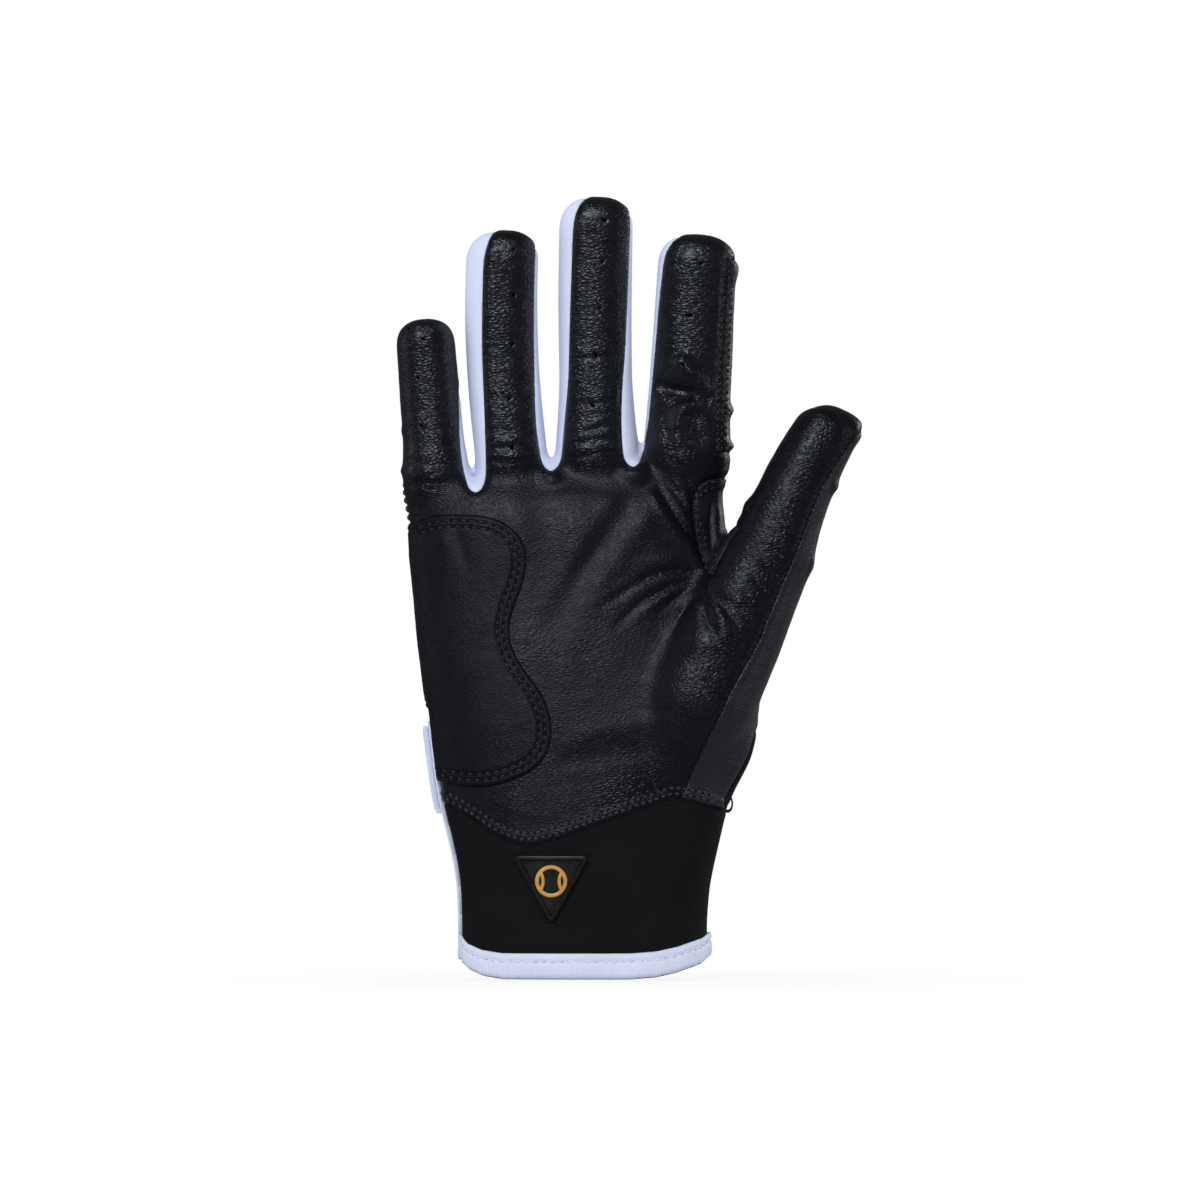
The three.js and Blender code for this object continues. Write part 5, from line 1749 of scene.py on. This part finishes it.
class GLOVE_OT_badge(bpy.types.Operator):
    """Moulds the badge with its raised border and its ball"""

    bl_idname = "glove.badge"
    bl_label = "Badge"

    def execute(self, context):
        b = BADGE

        def corners(inset, radius):
            shrink = inset * 1.7
            return rounded_corners(
                [
                    (b["x"] - b["width"] / 2 + shrink, b["top"] - inset),
                    (b["x"], b["top"] - b["height"] + shrink),
                    (b["x"] + b["width"] / 2 - shrink, b["top"] - inset),
                ],
                radius,
            )

        bm = shape_solid(corners(0, 2.2), b["thick"], 0.4)
        face = max(bm.faces, key=lambda f: (f.normal.dot(Vector((0, -1, 0))) > 0.9) * f.calc_area())
        bmesh.ops.inset_region(bm, faces=[face], thickness=0.75, depth=0.0, use_even_offset=True)
        bmesh.ops.inset_region(bm, faces=[face], thickness=0.35, depth=-0.5, use_even_offset=True)
        bmesh.ops.triangulate(bm, faces=[f for f in bm.faces if len(f.verts) > 4])
        for _ in range(3):
            long = [e for e in bm.edges if e.calc_length() > 2.2]
            bmesh.ops.subdivide_edges(bm, edges=long, cuts=1)
            bmesh.ops.triangulate(bm, faces=[f for f in bm.faces if len(f.verts) > 4])
        drape(bm, 0.3)
        obj = finish_piece(to_mesh(bm, "badge"), "badge_plate_moulded", "black_rubber", "glove_body",
                           ["badge_plate"], False)
        sharp_by_angle(obj, 40)
        self.emblem(b)
        return {"FINISHED"}

    def emblem(self, b):
        """A plain ball: a ring with its two curved seams, raised from the plate."""
        x, z, radius, line = b["x"], b["top"] - b["height"] * 0.37, 4.5, 1.1
        bm = bmesh.new()
        centre = radius - line / 2
        turns = np.linspace(0, 2 * math.pi, 49)
        self.bar(bm, [(x + centre * math.cos(t), z + centre * math.sin(t)) for t in turns], line)
        for side in (-1, 1):
            hub = x + side * (centre + radius * 0.62)
            away = abs(hub - x)
            spread = math.acos((away**2 + radius**2 - centre**2) / (2 * away * radius))
            facing = math.pi if side > 0 else 0
            turns = np.linspace(facing - spread, facing + spread, 17)
            self.bar(bm, [(hub + radius * math.cos(t), z + radius * math.sin(t)) for t in turns], line * 0.85)
        drape(bm, 0.3 + b["thick"] - 0.52)
        finish_piece(to_mesh(bm, "emblem"), "badge_emblem_moulded", "gold_rubber", "glove_body",
                     ["badge_emblem"])

    def bar(self, bm, line, wide):
        """A raised bar with a rounded back along a line of (x, z)."""
        line = np.array(line)
        closed = np.hypot(*(line[0] - line[-1])) < 1e-6
        ahead = np.gradient(line, axis=0)
        if closed:
            ahead[0] = ahead[-1] = line[1] - line[-2]
        ahead /= np.hypot(*ahead.T)[:, None]
        half = [(0.5, 0.0), (0.5, 0.28), (0.36, 0.5), (0.12, 0.58)]
        section = half + [(-a, h) for a, h in half[::-1]]
        layer = bm.verts.layers.int.get("place") or bm.verts.layers.int.new("place")
        start = [
            bm.verts.new((line[0][0] - ahead[0][1] * a * wide, -h, line[0][1] + ahead[0][0] * a * wide))
            for a, h in section
        ]
        edges = [bm.edges.new((start[i], start[(i + 1) % len(start)])) for i in range(len(start))]
        first = list(edges)
        for i, v in enumerate(start):
            v[layer] = i
        for (px, pz), (ax, az) in zip(line[1:], ahead[1:]):
            made = bmesh.ops.extrude_edge_only(bm, edges=edges)["geom"]
            for v in (g for g in made if isinstance(g, bmesh.types.BMVert)):
                a, h = section[v[layer]]
                v.co = (px - az * a * wide, -h, pz + ax * a * wide)
            edges = [g for g in made if isinstance(g, bmesh.types.BMEdge)]
        if closed:
            bmesh.ops.remove_doubles(bm, verts=bm.verts, dist=1e-4)
        else:
            bmesh.ops.holes_fill(bm, edges=first + edges, sides=0)
        bmesh.ops.recalc_face_normals(bm, faces=bm.faces)


def sharp_by_angle(obj, degrees):
    """Keeps the edges crisp that turn more than an angle, and smooths the rest."""
    bm = from_mesh(obj.data)
    for f in bm.faces:
        f.smooth = True
    for e in bm.edges:
        e.smooth = e.calc_face_angle(0) < math.radians(degrees)
    bm.to_mesh(obj.data)
    bm.free()


class GLOVE_OT_label(bpy.types.Operator):
    """Sews the bare size label inside the cuff"""

    bl_idname = "glove.label"
    bl_label = "Size label"

    def execute(self, context):
        outline = np.array([(-2, 30), (18, 30), (18, 44), (-2, 44)], float)

        bm = overlay_bm([inside_of(outline)], lambda co, _: co[:, 1] > 5)
        lift(bm, lambda co: np.full(len(co), -1.55), 6)
        mesh = thickened(bm, "size_label", 0.4, sharp_creases=False)
        finish_piece(mesh, "size_label_cloth", "label", "glove_body", ["size_label"])
        return {"FINISHED"}


class GLOVE_OT_finger_pads(bpy.types.Operator):
    """Moulds the ribbed pad on the back of each finger's joint"""

    bl_idname = "glove.finger_pads"
    bl_label = "Finger pads"

    def execute(self, context):
        for digit in FINGERS:
            d = DIGITS[digit]
            low, high = d["length"] * 0.28, d["length"] * 0.56
            half = d["mid"] / 2 * 0.72
            outline = rounded_corners([(-half, low), (half, low), (half, high), (-half, high)], 4)

            def zone(co):
                x, _, z = local(co, digit)
                return polygon_side(x, z, outline)

            bm = overlay_bm([zone], lambda co, _: co[:, 1] > 1)
            edge = edge_distance(bm)
            up = (local(read(bm, mesh_points), digit)[2] - low) / (high - low)
            ribs = 0.18 * np.clip(np.cos(up * 2 * math.pi * 5), -0.4, 1) * (edge > 1.1)
            lift(bm, lambda _: 1.15 - 0.55 * bell(edge, 0.6) + ribs, 8)
            node = digit + "_flex_pad"
            mesh = thickened(bm, node, 0.85, sharp_creases=False)
            finish_piece(mesh, node + "_moulded", "pad_rubber", digit, [node])
        return {"FINISHED"}


class GLOVE_OT_stitching(bpy.types.Operator):
    """Sews the rows of thread that show"""

    bl_idname = "glove.stitching"
    bl_label = "Stitching"

    def execute(self, context):
        pitch = settings().stitch_pitch / MM
        radius = settings().stitch_radius / MM
        size = pitch * 0.8

        # Painted shade: the holes list gathers dark beads sunk at each stitch, standing in for the shade in the
        # needle holes.
        holes = []
        rows = []
        visible = HEEL_OUTLINE[HEEL_OUTLINE[:, 0] > -49.5]
        start = np.argmax(np.hypot(*(visible - np.roll(visible, 1, 0)).T))
        line = np.roll(visible, -start, 0)
        for off in HEEL_ROWS:
            for sign in (1, -1):
                moved = beside(line, off * sign)
                if polygon_side(moved[:, 0], moved[:, 1], HEEL_OUTLINE).mean() > 0:
                    stitch_row(rows, moved, pitch, size * 0.75, radius * 1.15, 0.08, tree="pad_tree")
                    stitch_row(holes, moved, pitch, 1.0, radius * 1.7, -0.15, tree="pad_tree", shift=0.0)
        thread_piece(rows, "heel_pad_stitches", "black_thread", "glove_body")

        seam = rounded(CUFF_SEAM[np.abs(CUFF_SEAM[:, 0]) < 40], closed=False)
        seam = seam[seam[:, 0] < 37.3]
        rows = []
        for off in (0.95, 2.55):
            line = beside(seam, off)
            stitch_row(rows, line, pitch * 0.8, size * 0.85, radius * 1.25, 0.05)
            stitch_row(holes, line, pitch * 0.8, 0.8, radius * 1.5, -0.2, shift=0.0)
        thread_piece(rows, "cuff_seam_stitches", "greyed_sheen_thread", "glove_body")

        rows = []
        outward = PATCH_OUTLINE[PATCH_OUTLINE[:, 0] < 38] - PATCH_CENTRE
        outward = outward[np.argsort(np.arctan2(outward[:, 1], outward[:, 0]) % (2 * math.pi))]
        far = np.hypot(*outward.T)[:, None]
        for off in (0.9, 2.5):
            edge = PATCH_CENTRE + outward * (1 - off / far)
            stitch_row(rows, edge, pitch * 0.85, size * 0.8, radius, 0.05)
            stitch_row(holes, edge, pitch * 0.85, 0.8, radius * 1.4, -0.2, shift=0.0)
        thread_piece(rows, "web_patch_stitches", "black_thread", "glove_body")
        # The beads of painted needle-hole shade from the heel pad, cuff seam and web patch.
        thread_piece(holes, "painted_hole_shade", "hole_shade", "glove_body")

        place = digit_place("thumb")
        seam = []
        for h in np.linspace(-1.7, 0.88, 60) * DIGITS["thumb"]["length"]:
            spot = place @ Vector((np.interp(h, *THUMB_SEAM.T) - 0.55, 0, h))
            seam.append((spot.x, spot.z, h))
        seam = np.array(seam)
        # Painted shade: the thumb's seam is a row of the near-black hole-shade beads sunk a little into the leather,
        # standing in for the shade of its stitch holes.
        for body, part in (("glove_body", seam[seam[:, 2] < -1]), ("thumb", seam[seam[:, 2] > -1])):
            rows = []
            stitch_row(rows, part[:, :2], pitch * 0.75, size * 0.5, radius * 1.1, -0.1)
            thread_piece(rows, body + "_thumb_seam_shade_beads", "hole_shade", body)

        for digit in FINGERS:
            rows = []
            sides = {"pinky": ["right"], "index": ["left"]}.get(digit, ["left", "right"])
            for side in sides:
                line = np.array(edge_line(digit, side))[2:-2] + (0.6 if side == "left" else -0.6, 0)
                stitch_row(rows, line, pitch * 0.7, size * 0.6, radius * 0.6, -0.05)
            for aside in (-0.6, 0.75, 2.0) if digit == "index" else ():
                line = np.array(edge_line("index", "right"))[:8] + (aside, 0)
                stitch_row(rows, line, pitch * 0.8, size * 0.8, radius, 0.0)
            thread_piece(rows, digit + "_seam_stitches", "black_thread", digit)

        rows = []
        heights = np.linspace(76, 139, 90)
        left = np.interp(heights, PALM[:, 0], PALM[:, 1])
        side = np.stack([left - 1.0, np.full(90, SIDE_Y - 0.9), heights], 1)
        stitch_row(rows, side, pitch, size * 1.1, radius * 1.7, 0.2)
        thread_piece(rows, "outer_side_stitches", "black_thread", "glove_body")

        rows = []
        x, y = squared_circle(np.linspace(0, 2 * math.pi, 200), PALM_POWER)
        x, y = 35 * x, 22.5 * y
        z = np.interp(x, *HEM.T) + HEM_THREAD
        clear = (x > SLIT_SIDE) | (np.abs(y - slit_y(z)) > SLIT["tape"] + 1.6)
        ring = np.stack([x, y, z], 1)[clear]
        jumps = np.nonzero(np.diff(lengths(ring)) > 6)[0] + 1
        for part in np.split(ring, jumps):
            if len(part) > 3:
                stitch_row(rows, part, pitch, size * 0.9, radius * 1.1, 0.85)
        thread_piece(rows, "hem_stitches", "white_thread", "glove_body")
        self.back_rows(pitch, size, radius)
        self.loop()
        return {"FINISHED"}

    def loop(self):
        """A small loop of thread left at the end of the cuff's seam."""
        bm = bmesh.new()
        made = bmesh.ops.create_circle(bm, segments=8, radius=0.26)
        bmesh.ops.translate(bm, verts=made["verts"], vec=(1.25, 0, 0))
        bmesh.ops.spin(bm, geom=bm.verts[:] + bm.edges[:], cent=(0, 0, 0), axis=(0, 1, 0), angle=2 * math.pi,
                       steps=24, use_merge=True)
        bmesh.ops.scale(bm, verts=bm.verts, vec=(1, 1, 1.75))
        bmesh.ops.recalc_face_normals(bm, faces=bm.faces)
        bmesh.ops.translate(bm, verts=bm.verts, vec=(40.0, 1.5, 48.6))
        finish_piece(to_mesh(bm, "loop"), "thread_loop", "black_thread", "glove_body")

    def back_rows(self, pitch, size, radius):
        """Thread on the back of the hand and on the strap."""
        across = np.linspace(-43, 38, 60)
        rows = []
        for height in (FLEX_LOW - 1.1, FLEX_LOW - 2.9, FLEX_HIGH + 1.1, FLEX_HIGH + 2.9):
            line = np.stack([across, height - flex_bow(across)], 1)
            stitch_row(rows, line, pitch, size, radius, 0.05, back=True)
        for height in (BACK_CUFF + 1.2, BACK_CUFF + 3.0):
            stitch_row(rows, [(-40, height), (38, height)], pitch, size, radius, 0.05, back=True)
        thread_piece(rows, "back_stitches", "greyed_sheen_thread", "glove_body")
        for digit in FINGERS:
            rows = []
            for share in (-BACK_SHARE, BACK_SHARE):
                line = np.array(edge_line(digit, "left", share))[1:7] - (math.copysign(0.8, share), 0)
                stitch_row(rows, line, pitch, size, radius, 0.05, back=True)
            thread_piece(rows, digit + "_back_stitches", "greyed_sheen_thread", digit)
        rows = []
        place = digit_place("thumb")
        for along in (-1.3, -3.0):
            line = [place @ Vector((x, 0, along)) for x in np.linspace(-9, 9, 30)]
            stitch_row(rows, [(v.x, v.z) for v in line], pitch, size, radius, 0.05, back=True)
        thread_piece(rows, "thumb_crease_stitches", "greyed_sheen_thread", "glove_body")
        rows = []
        outline = rounded_corners([(-40, 48.5), (30.5, 39.8), (30.5, 55.6), (-40, 67.4)], 3)
        outline = np.vstack([outline, outline[:1]])
        stitch_row(rows, outline, pitch, size, radius, STRAP_LIFT + STRAP_THICK - 0.05, back=True)
        thread_piece(rows, "strap_stitches", "white_thread", "strap")


class GLOVE_OT_stage(bpy.types.Operator):
    """Sets the floor, the lamps and the camera"""

    bl_idname = "glove.stage"
    bl_label = "Stage"

    def execute(self, context):
        scene = context.scene
        bm = bmesh.new()
        bmesh.ops.create_grid(bm, x_segments=2, y_segments=2, size=0.6)
        mesh = to_mesh(bm, "floor")
        set_points(mesh, mesh_points(mesh) + (0, 0, -0.0006))
        floor = new_object(mesh, "floor")
        mesh.materials.append(self.paper())
        self.world(scene)
        self.lamp("key", (-0.35, -1.4, 0.95), 0.7, 11.5)
        self.lamp("right", (1.5, -0.35, 0.2), 0.6, 1.8)
        self.lamp("left", (-1.4, -0.1, 0.35), 0.8, 1.5)
        self.lamp("back", (1.25, 1.1, 0.5), 0.8, 5.0)
        camera = bpy.data.objects.new("camera", bpy.data.cameras.new("camera"))
        scene.collection.objects.link(camera)
        camera.data.sensor_width = 36
        camera.data.lens = 385.7
        camera.location = (-0.0078, -3.6, 0.1056)
        camera.rotation_euler = (math.pi / 2, 0, 0)
        camera.data.clip_start = 0.02
        scene.camera = camera
        scene.view_settings.view_transform = "Standard"
        return {"FINISHED"}

    def lamp(self, name, place, size, power):
        data = bpy.data.lights.new(name, "AREA")
        data.shape = "DISK"
        data.size = size
        data.energy = power
        lamp = bpy.data.objects.new(name, data)
        bpy.context.scene.collection.objects.link(lamp)
        lamp.location = place
        lamp.visible_camera = False
        aim = Vector((-0.008, 0, 0.11)) - Vector(place)
        lamp.rotation_euler = aim.to_track_quat("-Z", "Y").to_euler()

    def paper(self):
        n = Nodes("White paper floor")
        path = n.add("ShaderNodeLightPath")
        plain = n.add("ShaderNodeEmission")
        mix = n.add("ShaderNodeMixShader")
        n.put(Base_Color=(0.82, 0.82, 0.82, 1), Roughness=0.9)
        seen = n.math("MAXIMUM", n.math("MAXIMUM", path.outputs["Is Camera Ray"], path.outputs["Is Glossy Ray"]),
                      path.outputs["Is Transmission Ray"])
        far = n.add("ShaderNodeVectorMath", operation="LENGTH")
        n.link(n.place, far.inputs[0])
        share = n.math("MULTIPLY", seen, n.ranged(far.outputs["Value"], 0.05, 0.13, 0.9, 1.0))
        n.link(share, mix.inputs[0])
        n.link(n.shader.outputs[0], mix.inputs[1])
        n.link(n.ranged(path.outputs["Is Glossy Ray"], 0, 1, 1.0, 0.1), plain.inputs["Strength"])
        n.link(plain.outputs[0], mix.inputs[2])
        n.link(mix.outputs[0], n.tree.nodes["Material Output"].inputs["Surface"])
        return n.material

    def world(self, scene):
        """White where the camera sees it and behind the glove, dimmer on the camera's side."""
        world = bpy.data.worlds.new("studio")
        world.use_nodes = True
        scene.world = world
        n = Wires(world.node_tree)
        path = n.add("ShaderNodeLightPath").outputs
        split = n.add("ShaderNodeSeparateXYZ")
        n.link(n.add("ShaderNodeTexCoord").outputs["Generated"], split.inputs[0])
        behind = n.ranged(split.outputs["Y"], -0.1, 0.6, 0.03, 0.1)
        mirrored = n.math("MAXIMUM", path["Is Glossy Ray"], path["Is Transmission Ray"])
        plain = n.math("MULTIPLY", n.math("SUBTRACT", 1.0, mirrored), 0.66)
        lit = n.math("ADD", n.math("MULTIPLY", mirrored, behind), plain)
        background = n.tree.nodes["Background"].inputs
        n.link(n.math("MAXIMUM", path["Is Camera Ray"], lit), background["Strength"])
        background["Color"].default_value = (1, 1, 1, 1)


class GLOVE_PT_panel(bpy.types.Panel):
    """Shows the glove's settings and a button for each group of pieces"""

    bl_label = "Batting glove"
    bl_idname = "GLOVE_PT_panel"
    bl_space_type = "VIEW_3D"
    bl_region_type = "UI"
    bl_category = "Glove"

    def draw(self, context):
        for name in GloveSettings.__annotations__:
            self.layout.prop(context.scene.glove, name)
        for operator in OPERATORS:
            self.layout.operator(operator.bl_idname)


OPERATORS = (
    GLOVE_OT_palm_side, GLOVE_OT_webs, GLOVE_OT_fingers, GLOVE_OT_thumb, GLOVE_OT_back, GLOVE_OT_cuff,
    GLOVE_OT_heel_pad, GLOVE_OT_bindings, GLOVE_OT_strap, GLOVE_OT_badge, GLOVE_OT_label,
    GLOVE_OT_finger_pads, GLOVE_OT_stitching, GLOVE_OT_stage,
)
CLASSES = (GloveSettings, *OPERATORS, GLOVE_PT_panel)


def register():
    for one in CLASSES:
        bpy.utils.register_class(one)
    bpy.types.Scene.glove = bpy.props.PointerProperty(type=GloveSettings)


def unregister():
    del bpy.types.Scene.glove
    for one in reversed(CLASSES):
        bpy.utils.unregister_class(one)


def main():
    register()
    for operator in OPERATORS:
        group, name = operator.bl_idname.split(".")
        getattr(getattr(bpy.ops, group), name)()


if __name__ == "__main__":
    main()
